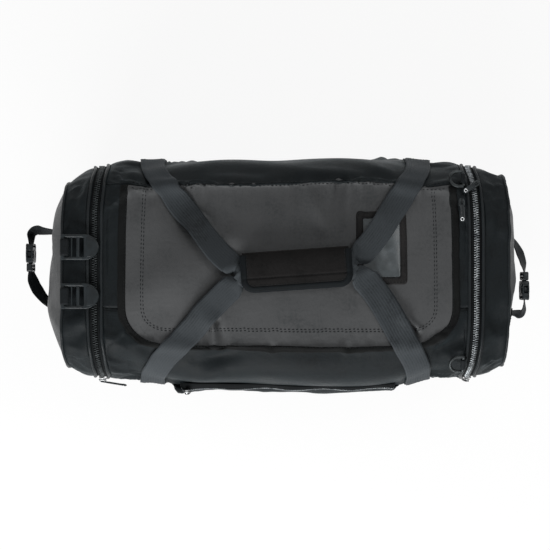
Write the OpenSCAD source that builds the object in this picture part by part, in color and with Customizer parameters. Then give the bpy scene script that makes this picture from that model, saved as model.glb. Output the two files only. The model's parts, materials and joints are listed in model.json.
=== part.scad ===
// Large sports kit bag: a zipped lid over the main compartment, a zipped
// compartment at each end, webbing carry straps with a wrap, and plastic fittings.
// Millimetres. X runs along the bag, +Y is the hinge side of the lid, Z is up.
// The origin is the middle of the base, on the surface the bag stands on.

/* [Bag body] */
// Width of the bag at mid length
body_w = 356; // [330:1:380]
// Width of the bag at the end zips
zip_w = 322; // [300:1:330]
// Height of the bag at mid length
body_h = 335; // [300:1:370]
// How much lower the top is at the end zips
end_drop = 10; // [4:1:16]
// Distance from the middle of the bag to each end zip
zip_x = 282; // [278:1:310]
// Depth of each end compartment past its zip
end_depth = 50; // [42:1:70]
// Bulge of the left end face
left_bulge = 32; // [10:1:36]
// Bulge of the right end face
right_bulge = 22; // [10:1:36]
// Thickness of the padded fabric panels
fabric_t = 2.5; // [1.5:0.1:3]
// Clearance between sewn edges that lie side by side
seam_gap = 0.4; // [0.3:0.1:0.8]

/* [Base] */
// Width of the flat base panel
base_w = 260; // [220:1:280]
// Thickness of the base panel
base_t = 3; // [2:0.5:5]
// Thickness of the stiffener board
board_t = 3; // [2:0.5:5]
// Corner radius of the base panel and board
base_r = 25; // [10:1:40]
// Gap between the board and the dividers
board_gap = 6; // [3:1:15]

/* [Lid] */
// Left edge of the lid
lid_left = -236; // [-240:1:-210]
// Right edge of the lid
lid_right = 246; // [220:1:248]
// Front edge of the lid
lid_front = -113; // [-125:1:-100]
// Line of the hinge seam of the lid
hinge_y = 130; // [120:1:136]
// Radius of the front corners of the lid
lid_r = 60; // [40:1:80]
// Width of the binding that covers the lid zip
binding_w = 12; // [8:1:14]
// How far the binding laps over the lid
binding_lap = 3; // [2:0.5:5]
// Thickness of binding and webbing tapes
tape_t = 2; // [1.2:0.1:2.4]

/* [Card pocket] */
// Middle of the card pocket along the bag
card_x = 140; // [100:1:170]
// Middle of the card pocket across the bag
card_y = 34; // [10:1:40]
// Width of the card pocket
card_w = 72; // [60:1:90]
// Height of the card pocket
card_h = 104; // [90:1:120]
// Width of the pocket's border
card_border = 10; // [6:1:12]
// Thickness of the clear window
window_t = 0.8; // [0.5:0.1:1.5]

/* [Zips] */
// Width of the zip tape on one side of the teeth
zip_tape_w = 8; // [7:0.5:10]
// Width of one row of teeth
teeth_w = 4; // [3:0.5:5]
// Height of the teeth above the tape
teeth_h = 1.6; // [1:0.1:2.2]
// Thickness of the zip tape
zip_tape_t = 1.2; // [0.8:0.1:1.6]
// Width of the piping beside each end zip
piping_w = 4; // [3:0.5:6]
// Height of the piping above the panels
piping_h = 2; // [1:0.5:3]
// Length of the fabric pulls of the end zips and the pocket
pull_l = 34; // [24:1:40]
// Length of the pull of the lid zip
lid_pull_l = 26; // [20:1:34]
// Distance of the lid's slider from the hinge seam
lid_slider_back = 28; // [24:1:44]
// Length of the pull at the top of the right end zip
top_pull_l = 22; // [18:1:26]

/* [Front pocket] */
// Length of the front pocket
pocket_l = 350; // [300:1:354]
// Height of the lower edge of the pocket
pocket_low = 60; // [40:1:90]
// Height of the zip of the pocket
pocket_high = 246; // [220:1:256]
// Thickness of the pocket
pocket_t = 4; // [2.5:0.5:6]
// Distance from the pocket's left end to its zip
pocket_zip_in_left = 15; // [10:1:30]
// Distance from the pocket's right end to its zip
pocket_zip_in_right = 7; // [5:1:30]

/* [Webbing] */
// Width of the carry webbing
strap_w = 38; // [30:1:40]
// Distance from the middle to the sewn webbing on each side
strap_x = 202; // [198:1:215]
// Share of the half width at which the free straps leave the side
strap_leave = 0.985; // [0.98:0.001:0.988]
// Height of the free straps above the panels
strap_lift = 5; // [4:0.5:7]

/* [Handle wrap] */
// Middle of the wrap along the bag
wrap_x = 16; // [0:1:30]
// Middle of the wrap across the bag
wrap_y = 2; // [-8:1:8]
// Length of the wrap
wrap_l = 162; // [140:1:180]
// Width of the wrap
wrap_w = 56; // [50:1:62]
// Thickness of the padding of the wrap
wrap_t = 5; // [3:0.5:7]
// Turn of the wrap about the vertical
wrap_turn = 4; // [0:1:8]

/* [End handles] */
// Height of the middle of the end handles
handle_z = 195; // [150:1:220]
// Width of the end handle webbing
handle_w = 25; // [20:1:30]
// Distance from the middle to each anchor of an end handle
handle_y = 62; // [56:1:75]
// How far the left handle stands out from its face
left_bow = 30; // [24:1:40]
// How far the right handle stands out from its face
right_bow = 17; // [15:1:30]

/* [Rings and buckles] */
// Clear width inside the D-rings
ring_in = 20; // [18:1:30]
// Wire diameter of the D-rings
ring_wire = 4.5; // [3.5:0.5:6]
// Distance of the middle of each D-ring from the side of the bag
ring_inset = 27; // [22:1:34]
// Tilt of the D-rings on the shoulders of the bag
ring_tilt = 25; // [15:1:35]
// Width of the ladder-lock buckles
ladder_w = 38; // [34:1:42]
// Distance of each ladder-lock from the middle
ladder_y = 36; // [28:1:60]
// Radial clearance of pins and bars in their loops
pin_gap = 0.05; // [0.02:0.01:0.1]

/* [Hidden] */
$fn = 40;

black_fabric = "#15191b";
grey_fabric = "#47494a";
webbing_grey = "#2d3133";
trim_black = "#0e1011";
fitting_black = "#24282a";
metal_grey = "#8d9092";

// Exponents of the rounded-square section, above and below mid height
n_top = 4.5;
n_bot = 8;
panel_x = zip_x - zip_tape_w - piping_w;
end_x = zip_x + end_depth;
cap_x = zip_x + zip_tape_w + piping_w;
divider_x = panel_x - 6;
// Ends of the pocket zip
pocket_zip_left = pocket_zip_in_left - pocket_l / 2;
pocket_zip_right = pocket_l / 2 - pocket_zip_in_right;
zip_split = 0.4;

// Cross-section of the bag: half width, height, and points at an inset d
function half_w(x) = body_w / 2 - (body_w - zip_w) / 2 * pow(abs(x) / zip_x, 3);
function top_h(x) = body_h - end_drop * pow(abs(x) / zip_x, 3);
function signed_pow(v, e) = sign(v) * pow(abs(v), e);
function section(x, a, d = 0) =
    let (e = 2 / (sin(a) >= 0 ? n_top : n_bot), mid = top_h(x) / 2)
    [x, (half_w(x) - d) * signed_pow(cos(a), e), mid + (mid - d) * signed_pow(sin(a), e)];
function top_z(x, y, d = 0) =
    let (w = half_w(x) - d, mid = top_h(x) / 2, s = pow(abs(y) / w, n_top))
    mid + (mid - d) * pow(max(0, 1 - s), 1 / n_top);
function on_top(x, y, d = 0) = [x, y, top_z(x, y, d)];
function top_angle(x, y, d = 0) = acos(signed_pow(y / (half_w(x) - d), n_top / 2));
function side_angle(x, z) = let (mid = top_h(x) / 2, n = z >= mid ? n_top : n_bot)
    asin(signed_pow((z - mid) / mid, n / 2));
function base_angle(x, d = 0) = acos(pow(base_w / 2 / (half_w(x) - d), n_bot / 2));
function lerp(a, b, t) = a + (b - a) * t;
function steps(a, b, n) = [for (i = [0:n]) lerp(a, b, i / n)];
function flat(rows) = [for (r = rows) for (p = r) p];

// A closed sheet between two grids of points, outer first
module sheet(outer, inner) {
    nu = len(outer);
    nv = len(outer[0]);
    n = nu * nv;
    function at(i, j) = i * nv + j;
    rim = concat(
        [for (j = [0:nv - 1]) at(0, j)],
        [for (i = [1:nu - 1]) at(i, nv - 1)],
        [for (j = [nv - 2:-1:0]) at(nu - 1, j)],
        [for (i = [nu - 2:-1:1]) at(i, 0)]);
    m = len(rim);
    faces = concat(
        [for (i = [0:nu - 2], j = [0:nv - 2]) each
            [[at(i, j), at(i + 1, j), at(i + 1, j + 1)], [at(i, j), at(i + 1, j + 1), at(i, j + 1)]]],
        [for (i = [0:nu - 2], j = [0:nv - 2]) each
            [[n + at(i, j), n + at(i + 1, j + 1), n + at(i + 1, j)],
             [n + at(i, j), n + at(i, j + 1), n + at(i + 1, j + 1)]]],
        [for (k = [0:m - 1]) let (a = rim[k], b = rim[(k + 1) % m]) each
            [[a, b, n + b], [a, n + b, n + a]]]);
    polyhedron(points = concat(flat(outer), flat(inner)), faces = faces, convexity = 6);
}

// A panel of the skin over columns xs, between first and last angles at each column
module skin(xs, outer_angles, inner_angles, d_out = 0, d_in = fabric_t, rows = 14) {
    function grid(angles, d) = [for (i = [0:len(xs) - 1]) [for (t = steps(0, 1, rows))
        section(xs[i], lerp(angles[i][0], angles[i][1], t), d)]];
    sheet(grid(outer_angles, d_out), grid(inner_angles, d_in));
}

// Outline of the lid at an offset, from the hinge round the front and back
function lid_path(off) = let (cx0 = lid_left + lid_r, cx1 = lid_right - lid_r,
        cy = lid_front + lid_r, r = lid_r + off)
    concat(
        [for (y = steps(hinge_y - 2, cy, 14)) [lid_left - off, y]],
        [for (a = steps(0, 90, 6)) if (a > 0) [cx0 - r * cos(a), cy - r * sin(a)]],
        [for (x = steps(cx0, cx1, 8)) if (x > cx0) [x, lid_front - off]],
        [for (a = steps(0, 90, 6)) if (a > 0) [cx1 + r * sin(a), cy - r * cos(a)]],
        [for (y = steps(cy, hinge_y - 2, 14)) if (y > cy) [lid_right + off, y]]);
module lid_edge_strip(off_in, off_out, d_out, d_in) {
    a = lid_path(off_in);
    b = lid_path(off_out);
    function grid(d) = [for (i = [0:len(a) - 1]) [for (t = [1, 0.5, 0])
        let (p = lerp(a[i], b[i], t)) on_top(p[0], p[1], d)]];
    sheet(grid(d_out), grid(d_in));
}

// A strip of the section ring, open at the bottom, between two insets, along X
module ring_strip(x0, x1, d_out, d_in) {
    ba = base_angle(zip_x);
    angles = steps(-ba, 180 + ba, 44);
    outer = [for (a = angles) let (p = section(zip_x, a, d_out)) [p[1], p[2]]];
    inner = [for (i = [len(angles) - 1:-1:0]) let (p = section(zip_x, angles[i], d_in)) [p[1], p[2]]];
    translate([x0, 0, 0])
        rotate([90, 0, 90])
            linear_extrude(x1 - x0)
                polygon(concat(outer, inner));
}

// A flat ribbon that follows points with its own side and normal directions
function unit(v) = v / norm(v);
function tangent(p, i) = unit(p[min(i + 1, len(p) - 1)] - p[max(i - 1, 0)]);
function skin_normal(x, y) =
    let (h = 0.2)
    unit([top_z(x - h, y) - top_z(x + h, y), top_z(x, y - h) - top_z(x, y + h), 2 * h]);
module ribbon(points, normals, width, thick) {
    sides = [for (i = [0:len(points) - 1]) unit(cross(normals[i], tangent(points, i)))];
    function grid(h) = [for (i = [0:len(points) - 1]) [for (s = [-0.5, 0.5])
        points[i] + sides[i] * s * width + normals[i] * h]];
    sheet(grid(thick), grid(0));
}

// Flat ribbon in the XY plane along 2D points, standing on its edge
module standing_ribbon(points, thick, height) {
    function normal(i) = let (t = tangent(points, i)) [-t[1], t[0]];
    n = len(points);
    side_a = [for (i = [0:n - 1]) points[i] + normal(i) * thick / 2];
    side_b = [for (i = [n - 1:-1:0]) points[i] - normal(i) * thick / 2];
    translate([0, 0, -height / 2])
        linear_extrude(height)
            polygon(concat(side_a, side_b));
}

// Base
module base_outline(l, w) {
    union() {
        square([l - 2 * base_r, w], center = true);
        square([l, w - 2 * base_r], center = true);
        for (sx = [-1, 1], sy = [-1, 1])
            translate([sx * (l / 2 - base_r), sy * (w / 2 - base_r)])
                circle(base_r);
    }
}
module base_panel() {
    color(grey_fabric)
        linear_extrude(base_t)
            base_outline(2 * (end_x - fabric_t - 1.5), base_w - 2 * seam_gap);
}
module base_board() {
    color(trim_black)
        translate([0, 0, base_t])
            linear_extrude(board_t)
                base_outline(2 * (divider_x - board_gap), base_w - 20);
}

// Side panels and the fabric round the lid opening
rim = 1;
seam_y = lid_front - rim + lid_r;
function opening_y(x) = let (xl = lid_left - rim, xr = lid_right + rim, r = lid_r,
        u = x < xl + r ? min(r, xl + r - x) : x > xr - r ? min(r, x - xr + r) : 0)
    lid_front - rim + r - sqrt(max(0, r * r - u * u));
function front_columns() = let (xl = lid_left - rim, xr = lid_right + rim)
    concat([-panel_x], [for (a = steps(90, 0, 6)) xl + lid_r - lid_r * sin(a)],
        [for (x = steps(xl + lid_r, xr - lid_r, 8)) if (x > xl + lid_r && x < xr - lid_r) x],
        [for (a = steps(0, 90, 6)) xr - lid_r + lid_r * sin(a)], [panel_x]);
module front_panel() {
    xs = front_columns();
    function edges(d) = [for (x = xs) [180 + base_angle(x, d), top_angle(x, opening_y(x), d)]];
    color(black_fabric)
        skin(xs, edges(0), edges(fabric_t), rows = 18);
}
module back_panel() {
    xs = steps(-panel_x, panel_x, 14);
    function edges(d) = [for (x = xs) [top_angle(x, hinge_y + seam_gap, d), -base_angle(x, d)]];
    color(black_fabric)
        skin(xs, edges(0), edges(fabric_t));
}
module top_gusset(x0, x1) {
    ys = steps(hinge_y - seam_gap, seam_y + seam_gap, 8);
    function grid(d) = [for (x = [x0, x1]) [for (y = ys) on_top(x, y, d)]];
    color(black_fabric)
        sheet(grid(fabric_t), grid(0));
}
module left_top_gusset() {
    top_gusset(-panel_x, lid_left - rim);
}
module right_top_gusset() {
    top_gusset(lid_right + rim, panel_x);
}
module divider(x) {
    ring = [for (a = steps(0, 360, 72)) if (a < 360)
        let (p = section(x, a, fabric_t + seam_gap + 6)) [p[1], max(p[2], base_t + seam_gap)]];
    color(black_fabric)
        translate([x - fabric_t / 2, 0, 0])
            rotate([90, 0, 90])
                linear_extrude(fabric_t)
                    polygon(ring);
}
module left_divider() {
    divider(-divider_x);
}
module right_divider() {
    divider(divider_x);
}

// Zips
zip_drop = 1.6;
zip_d = fabric_t + zip_drop;
module lid_zip_body_half() {
    color(trim_black)
        lid_edge_strip(rim + zip_split, rim + zip_tape_w, zip_d, zip_d + zip_tape_t);
}
module lid_zip_lid_half() {
    color(trim_black)
        lid_edge_strip(-zip_tape_w, -zip_split, zip_d, zip_d + zip_tape_t);
}
module end_zip_half(x_teeth, x_tape) {
    way = sign(x_tape - x_teeth);
    teeth_end = x_teeth + way * teeth_w;
    color(trim_black)
        union() {
            ring_strip(min(x_teeth, x_tape), max(x_teeth, x_tape), 0, zip_tape_t);
            ring_strip(min(x_teeth, teeth_end), max(x_teeth, teeth_end), -teeth_h, zip_tape_t / 2);
        }
}
module left_zip_body_half() {
    end_zip_half(-zip_x + zip_split, -zip_x + zip_tape_w);
}
module right_zip_body_half() {
    end_zip_half(zip_x - zip_split, zip_x - zip_tape_w);
}
module left_zip_cap_half() {
    end_zip_half(-zip_x - zip_split, -zip_x - zip_tape_w);
}
module right_zip_cap_half() {
    end_zip_half(zip_x + zip_split, zip_x + zip_tape_w);
}
module piping(x0) {
    color(trim_black)
        ring_strip(x0, x0 + piping_w, -piping_h, fabric_t);
}
module left_body_piping() {
    piping(-zip_x + zip_tape_w);
}
module right_body_piping() {
    piping(zip_x - zip_tape_w - piping_w);
}
module left_cap_piping() {
    piping(-zip_x - zip_tape_w - piping_w);
}
module right_cap_piping() {
    piping(zip_x + zip_tape_w);
}

// Front pocket
pocket_d = -seam_gap;
module front_band(x0, x1, z0, z1, d_in, d_out, columns, rows) {
    xs = steps(x0, x1, columns);
    edges = [for (x = xs) [180 - side_angle(x, z0), 180 - side_angle(x, z1)]];
    skin(xs, edges, edges, d_out, d_in, rows);
}
module front_pocket() {
    color(black_fabric)
        front_band(-pocket_l / 2, pocket_l / 2, pocket_low, pocket_high - zip_tape_w - 1,
            pocket_d, pocket_d - pocket_t, 10, 6);
}
module pocket_zip() {
    color(trim_black)
        front_band(pocket_zip_left, pocket_zip_right, pocket_high - zip_tape_w, pocket_high + zip_tape_w,
            pocket_d, pocket_d - zip_tape_t - teeth_h, 10, 4);
}

// Webbing sewn down the sides, up to where the free straps leave
function leave_angle(x) = top_angle(x, strap_leave * half_w(x));
module side_webbing(front) {
    color(webbing_grey)
        for (s = [-1, 1]) {
            xs = steps(s * strap_x - strap_w / 2, s * strap_x + strap_w / 2, 1);
            low = [for (x = xs) -base_angle(x) + 4];
            high = [for (x = xs) leave_angle(x) - 1.5];
            edges = [for (i = [0, 1]) front ? [180 - low[i], 180 - high[i]] : [high[i], low[i]]];
            skin(xs, edges, edges, -seam_gap - tape_t, -seam_gap, 12);
        }
}
module front_side_webbing() {
    side_webbing(true);
}
module back_side_webbing() {
    side_webbing(false);
}

// Free carry straps: two legs that run in to the wrap, and the grip inside it
wrap_gap = 1;
wrap_floor = body_h + seam_gap + wrap_gap;
back_grip_z = wrap_floor + wrap_t + wrap_gap;
front_grip_z = back_grip_z + tape_t + wrap_gap;
wrap_top = front_grip_z + tape_t + wrap_gap;
function turned(p) = [wrap_x + p[0] * cos(wrap_turn) - p[1] * sin(wrap_turn),
    wrap_y + p[0] * sin(wrap_turn) + p[1] * cos(wrap_turn)];
// One leg in plan, from the side (t = 0) to the mouth of the wrap (t = 1)
leg_tail = 12;
leg_bend = [30, 26];
foot_lift = 1;
function leg(side, along, t) =
    let (u = 1 - pow(1 - t, 1.6),
        foot = [along * strap_x, side * strap_leave * half_w(strap_x)],
        mouth = turned([along * (wrap_l / 2 + leg_tail), side * 4]),
        bend = turned([along * (wrap_l / 2 + leg_tail + leg_bend[0]), side * (4 + leg_bend[1])]),
        p = lerp(lerp(foot, bend, u), lerp(bend, mouth, u), u))
    p;
function leg_point(side, along, t, grip_z) =
    let (p = leg(side, along, t), lift = lerp(foot_lift, strap_lift, min(1, 5 * t)),
        q = [p[0], p[1], top_z(p[0], p[1])] + skin_normal(p[0], p[1]) * lift,
        rise = pow(t, side < 0 ? 0.6 : 4))
    [q[0], q[1], lerp(q[2], grip_z, rise)];
function leg_normal(side, along, t) =
    let (p = leg(side, along, t), n = skin_normal(p[0], p[1]))
    unit(lerp(n, [0, 0, 1], t));
leg_steps = [for (t = steps(0, 1, 28)) pow(t, 1.5)];
leg_steps_back = [for (i = [len(leg_steps) - 1:-1:0]) leg_steps[i]];
grip_steps = steps(-1, 1, 4);
function strap_points(side, grip_z) =
    concat(
        [for (t = leg_steps) leg_point(side, -1, t, grip_z)],
        [for (s = grip_steps) let (p = turned([s * wrap_l / 2, side * 1])) [p[0], p[1], grip_z]],
        [for (t = leg_steps_back) leg_point(side, 1, t, grip_z)]);
function strap_normals(side) =
    concat(
        [for (t = leg_steps) leg_normal(side, -1, t)],
        [for (s = grip_steps) [0, 0, 1]],
        [for (t = leg_steps_back) leg_normal(side, 1, t)]);
module free_strap(side, grip_z) {
    points = strap_points(side, grip_z);
    color(webbing_grey)
        ribbon(points, strap_normals(side), strap_w, tape_t);
}
module front_strap() {
    free_strap(-1, front_grip_z);
}
module back_strap() {
    free_strap(1, back_grip_z);
}

// Handle wrap: a padded base under the straps and a flap that closes over them
wrap_r = 8;
module wrap_plate(w) {
    linear_extrude(wrap_t)
        union() {
            square([wrap_l - 2 * wrap_r, w], center = true);
            square([wrap_l, w - 2 * wrap_r], center = true);
            for (sx = [-1, 1], sy = [-1, 1])
                translate([sx * (wrap_l / 2 - wrap_r), sy * (w / 2 - wrap_r)])
                    circle(wrap_r);
        }
}
module in_wrap() {
    translate([wrap_x, wrap_y, 0])
        rotate([0, 0, wrap_turn])
            children();
}
module wrap_base() {
    color(trim_black)
        in_wrap()
            translate([0, 0, wrap_floor])
                wrap_plate(wrap_w);
}
module wrap_flap() {
    color(trim_black)
        in_wrap()
            translate([0, 0, wrap_top])
                wrap_plate(wrap_w);
}

// Lid
function lid_x0(y) = let (v = max(0, lid_front + lid_r - y))
    lid_left + lid_r - sqrt(max(0, lid_r * lid_r - v * v));
function lid_x1(y) = lid_right - (lid_x0(y) - lid_left);
module lid_panel() {
    ys = concat([for (a = steps(0, 90, 6)) lid_front + lid_r - lid_r * cos(a)],
        [for (y = steps(lid_front + lid_r, hinge_y - rim, 6)) if (y > lid_front + lid_r) y]);
    function grid(d) = [for (y = ys) [for (t = steps(1, 0, 14))
        let (x = lerp(lid_x0(y), lid_x1(y), t)) on_top(x, y, d)]];
    color(grey_fabric)
        sheet(grid(fabric_t), grid(0));
}
module lid_binding() {
    color(trim_black)
        lid_edge_strip(-binding_lap, binding_w - binding_lap, -seam_gap - tape_t, -seam_gap);
}
// A patch on the lid, in plan
module lid_patch(x0, x1, y0, y1, d_in, d_out, n) {
    function grid(d) = [for (x = steps(x0, x1, n)) [for (y = steps(y0, y1, n)) on_top(x, y, d)]];
    sheet(grid(d_out), grid(d_in));
}
frame_t = 1.2;
module card_pocket_frame() {
    x0 = card_x - card_w / 2;
    x1 = card_x + card_w / 2;
    y0 = card_y - card_h / 2;
    y1 = card_y + card_h / 2;
    b = card_border;
    color(trim_black)
        union() {
            lid_patch(x0, x0 + b, y0, y1, -seam_gap, -seam_gap - frame_t, 3);
            lid_patch(x1 - b, x1, y0, y1, -seam_gap, -seam_gap - frame_t, 3);
            lid_patch(x0 + b, x1 - b, y0, y0 + b, -seam_gap, -seam_gap - frame_t, 3);
            lid_patch(x0 + b, x1 - b, y1 - b, y1, -seam_gap, -seam_gap - frame_t, 3);
        }
}
module card_window() {
    b = card_border + seam_gap;
    color("#8a9094", 0.5)
        lid_patch(card_x - card_w / 2 + b, card_x + card_w / 2 - b, card_y - card_h / 2 + b,
            card_y + card_h / 2 - b, -seam_gap, -seam_gap - window_t, 4);
}

// End compartments
module end_gusset(s) {
    xs = s > 0 ? [cap_x, (cap_x + end_x) / 2, end_x] : [-end_x, -(cap_x + end_x) / 2, -cap_x];
    function edges(d) = [for (x = xs) [180 + base_angle(x, d), -base_angle(x, d)]];
    color(black_fabric)
        skin(xs, edges(0), edges(fabric_t), rows = 44);
}
module left_end_gusset() {
    end_gusset(-1);
}
module right_end_gusset() {
    end_gusset(1);
}
// A crowned panel that closes the end, from rings round its middle
face_rings = [0.3, 0.55, 0.75, 0.9, 1];
function face_point(s, bulge, r, a, inset) =
    let (p = section(end_x, a), mid = top_h(end_x) / 2)
    [s * (end_x + seam_gap + bulge * (1 - pow(r, 3)) + (inset ? 0 : fabric_t)),
        p[1] * r, mid + (p[2] - mid) * r];
module end_face(s, bulge) {
    angles = [for (a = steps(0, 360, 40)) if (a < 360) a];
    na = len(angles);
    nr = len(face_rings);
    n = na * nr;
    rings = [for (inset = [false, true]) each [for (r = face_rings) each
        [for (a = angles) face_point(s, bulge, r, a, inset)]]];
    middles = [face_point(s, bulge, 0, 0, false), face_point(s, bulge, 0, 0, true)];
    function at(layer, i, j) = layer * n + i * na + (j + na) % na;
    quads = concat(
        [for (i = [0:nr - 2], j = [0:na - 1])
            [at(0, i, j), at(0, i, j + 1), at(0, i + 1, j + 1), at(0, i + 1, j)]],
        [for (i = [0:nr - 2], j = [0:na - 1])
            [at(1, i, j), at(1, i + 1, j), at(1, i + 1, j + 1), at(1, i, j + 1)]],
        [for (j = [0:na - 1])
            [at(0, nr - 1, j), at(0, nr - 1, j + 1), at(1, nr - 1, j + 1), at(1, nr - 1, j)]]);
    fans = concat(
        [for (j = [0:na - 1]) [2 * n, at(0, 0, j + 1), at(0, 0, j)]],
        [for (j = [0:na - 1]) [2 * n + 1, at(1, 0, j), at(1, 0, j + 1)]]);
    tris = concat(fans, [for (q = quads) each [[q[0], q[1], q[2]], [q[0], q[2], q[3]]]]);
    color(grey_fabric)
        polyhedron(points = concat(rings, middles),
            faces = s > 0 ? tris : [for (f = tris) [f[2], f[1], f[0]]], convexity = 4);
}
module left_end_face() {
    end_face(-1, left_bulge);
}
module right_end_face() {
    end_face(1, right_bulge);
}

// Side-release buckles and end handles. A buckle's own X is its length, from the
// mouth of the socket at 0 to its closed end.
buckle_l = 30;
buckle_t = 11;
socket_l = 23;
arm_l = 20;
slot_gap = 0.4;
release_travel = 24;
buckle_w = handle_w + 9;
module buckle_female() {
    color(fitting_black)
        difference() {
            translate([0, -buckle_w / 2, -buckle_t / 2])
                cube([buckle_l, buckle_w, buckle_t]);
            translate([-1, -buckle_w / 2 + 4, -buckle_t / 2 + 2.5])
                cube([socket_l + 1, buckle_w - 8, buckle_t - 5]);
            for (s = [-1, 1])
                translate([8, s * buckle_w / 2 - 5, -buckle_t / 2 + 2.5])
                    cube([11, 10, buckle_t - 5]);
        }
}
module buckle_male() {
    arm_t = buckle_t - 5 - 2 * slot_gap;
    half = buckle_w / 2 - 4 - slot_gap;
    color(fitting_black)
        union() {
            translate([-14, -buckle_w / 2, -buckle_t / 2 + 1])
                cube([13.5, buckle_w, buckle_t - 2]);
            translate([-1, -2.5, -arm_t / 2])
                cube([arm_l, 5, arm_t]);
            for (s = [-1, 1])
                translate([-1, s * (half - 3) - 3, -arm_t / 2])
                    cube([arm_l + 1, 6, arm_t]);
        }
}
// Places a buckle on an end: s is the end, up the way its closed end points in Y
function face_x(bulge) = end_x + seam_gap + bulge + fabric_t;
buckle_mouth = 14;
module on_end(s, up, bulge, bow) {
    translate([s * (face_x(bulge) + bow), up * buckle_mouth, handle_z])
        rotate([0, 0, up * 90])
            rotate([90, 0, 0])
                children();
}
// Depth of the face at a place on it, along X
function face_at(bulge, y) =
    let (r = abs(y) / half_w(end_x) / pow(1 - pow(abs(handle_z - top_h(end_x) / 2) / (top_h(end_x) / 2), n_top),
        1 / n_top))
    end_x + seam_gap + bulge * (1 - pow(r, 3)) + fabric_t;
anchor_gap = 0.5;
module handle_tab(s, up, bulge, bow) {
    x0 = face_at(bulge, handle_y) + anchor_gap;
    x1 = face_x(bulge) + bow;
    y1 = buckle_mouth + buckle_l;
    points = [[x0, handle_y], [lerp(x0, x1, 0.5), handle_y + 6], [x1 - 4, handle_y + 3],
        [x1, handle_y - 3], [x1, y1 + seam_gap]];
    color(webbing_grey)
        translate([0, 0, handle_z])
            standing_ribbon([for (p = points) [s * p[0], up * p[1]]], tape_t, handle_w);
}
module handle_strap(s, up, bulge, bow) {
    x0 = face_at(bulge, handle_y) + anchor_gap;
    x1 = face_x(bulge) + bow;
    y1 = buckle_mouth - 14 - seam_gap;
    points = concat([[x1, y1]], [for (t = steps(0, 1, 8)) if (t > 0)
        [lerp(x1, x0, pow(t, 2)), lerp(y1, -handle_y, t)]]);
    color(webbing_grey)
        translate([0, 0, handle_z])
            standing_ribbon([for (p = points) [s * p[0], up * p[1]]], tape_t, handle_w);
}
module left_handle_tab() {
    handle_tab(-1, 1, left_bulge, left_bow);
}
module left_handle_strap() {
    handle_strap(-1, 1, left_bulge, left_bow);
}
module left_buckle_female() {
    on_end(-1, 1, left_bulge, left_bow)
        buckle_female();
}
module left_buckle_male() {
    on_end(-1, 1, left_bulge, left_bow)
        buckle_male();
}
module right_handle_tab() {
    handle_tab(1, -1, right_bulge, right_bow);
}
module right_handle_strap() {
    handle_strap(1, -1, right_bulge, right_bow);
}
module right_buckle_female() {
    on_end(1, -1, right_bulge, right_bow)
        buckle_female();
}
module right_buckle_male() {
    on_end(1, -1, right_bulge, right_bow)
        buckle_male();
}

// Ladder-lock buckles on the left end. Their bars lie along Y, near the end seam.
ladder_t = 5;
ladder_bar_r = 2.2;
ladder_rail = 5;
ladder_frame_l = 32;
ladder_bar_x = -end_x + 4;
ladder_z = top_h(zip_x) + ladder_t / 2 + piping_h + 1;
module ladder_lock(y) {
    inner_w = ladder_w - 2 * ladder_rail;
    nose_r = 22;
    nose_off = nose_r - ladder_w / 2;
    color(fitting_black)
        translate([ladder_bar_x, y, ladder_z])
            union() {
                translate([0, 0, -ladder_t / 2])
                    linear_extrude(ladder_t)
                        difference() {
                            union() {
                                translate([-3, -ladder_w / 2])
                                    square([ladder_frame_l + 3, ladder_w]);
                                translate([ladder_frame_l, 0])
                                    intersection() {
                                        translate([0, -nose_off])
                                            circle(nose_r);
                                        translate([0, nose_off])
                                            circle(nose_r);
                                        translate([-1, -ladder_w / 2])
                                            square([nose_r + 1, ladder_w]);
                                    }
                            }
                            translate([-4, -inner_w / 2])
                                square([14, inner_w]);
                            translate([14, -inner_w / 2])
                                square([6, inner_w]);
                            translate([25, -inner_w / 2])
                                square([6, inner_w]);
                        }
                rotate([90, 0, 0])
                    cylinder(r = ladder_bar_r, h = inner_w + 2, center = true);
            }
}
module ladder_lock_back() {
    ladder_lock(ladder_y);
}
module ladder_lock_front() {
    ladder_lock(-ladder_y);
}
// Webbing loops that hold a round bar on a seam: a bored roll with a stitched foot
module bar_loop(bar_r, width, drop, back) {
    roll_r = bar_r + pin_gap + tape_t;
    difference() {
        union() {
            rotate([90, 0, 0])
                cylinder(r = roll_r, h = width, center = true);
            translate([-back, -width / 2, -drop])
                cube([back, width, drop]);
        }
        rotate([90, 0, 0])
            cylinder(r = bar_r + pin_gap, h = width + 1, center = true);
    }
}
module ladder_lock_tabs() {
    drop = ladder_z - top_z(end_x, ladder_y);
    color(webbing_grey)
        for (s = [-1, 1])
            translate([ladder_bar_x, s * ladder_y, ladder_z])
                bar_loop(ladder_bar_r, ladder_w - 2 * ladder_rail - 3, drop, 4);
}

// D-rings on the right shoulders. The bar lies across the bag, the bow points inwards.
ring_x = panel_x - 7;
ring_y = half_w(ring_x) - ring_inset;
ring_lift = 9;
wire_r = ring_wire / 2;
ring_leg = 7;
module on_shoulder(s) {
    translate([ring_x, s * ring_y, top_z(ring_x - 12, ring_y) + ring_lift])
        rotate([-s * ring_tilt, 0, 0])
            children();
}
module d_ring() {
    span = ring_in / 2 + wire_r;
    color(fitting_black)
        union() {
            rotate([90, 0, 0])
                cylinder(r = wire_r, h = 2 * span, center = true);
            for (s = [-1, 1]) {
                translate([0, s * span, 0])
                    sphere(wire_r);
                translate([-ring_leg, s * span, 0])
                    rotate([0, 90, 0])
                        cylinder(r = wire_r, h = ring_leg);
            }
            translate([-ring_leg, 0, 0])
                rotate([0, 0, 90])
                    rotate_extrude(angle = 180)
                        translate([span, 0])
                            circle(wire_r);
        }
}
module d_ring_back() {
    on_shoulder(1)
        d_ring();
}
module d_ring_front() {
    on_shoulder(-1)
        d_ring();
}
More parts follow.
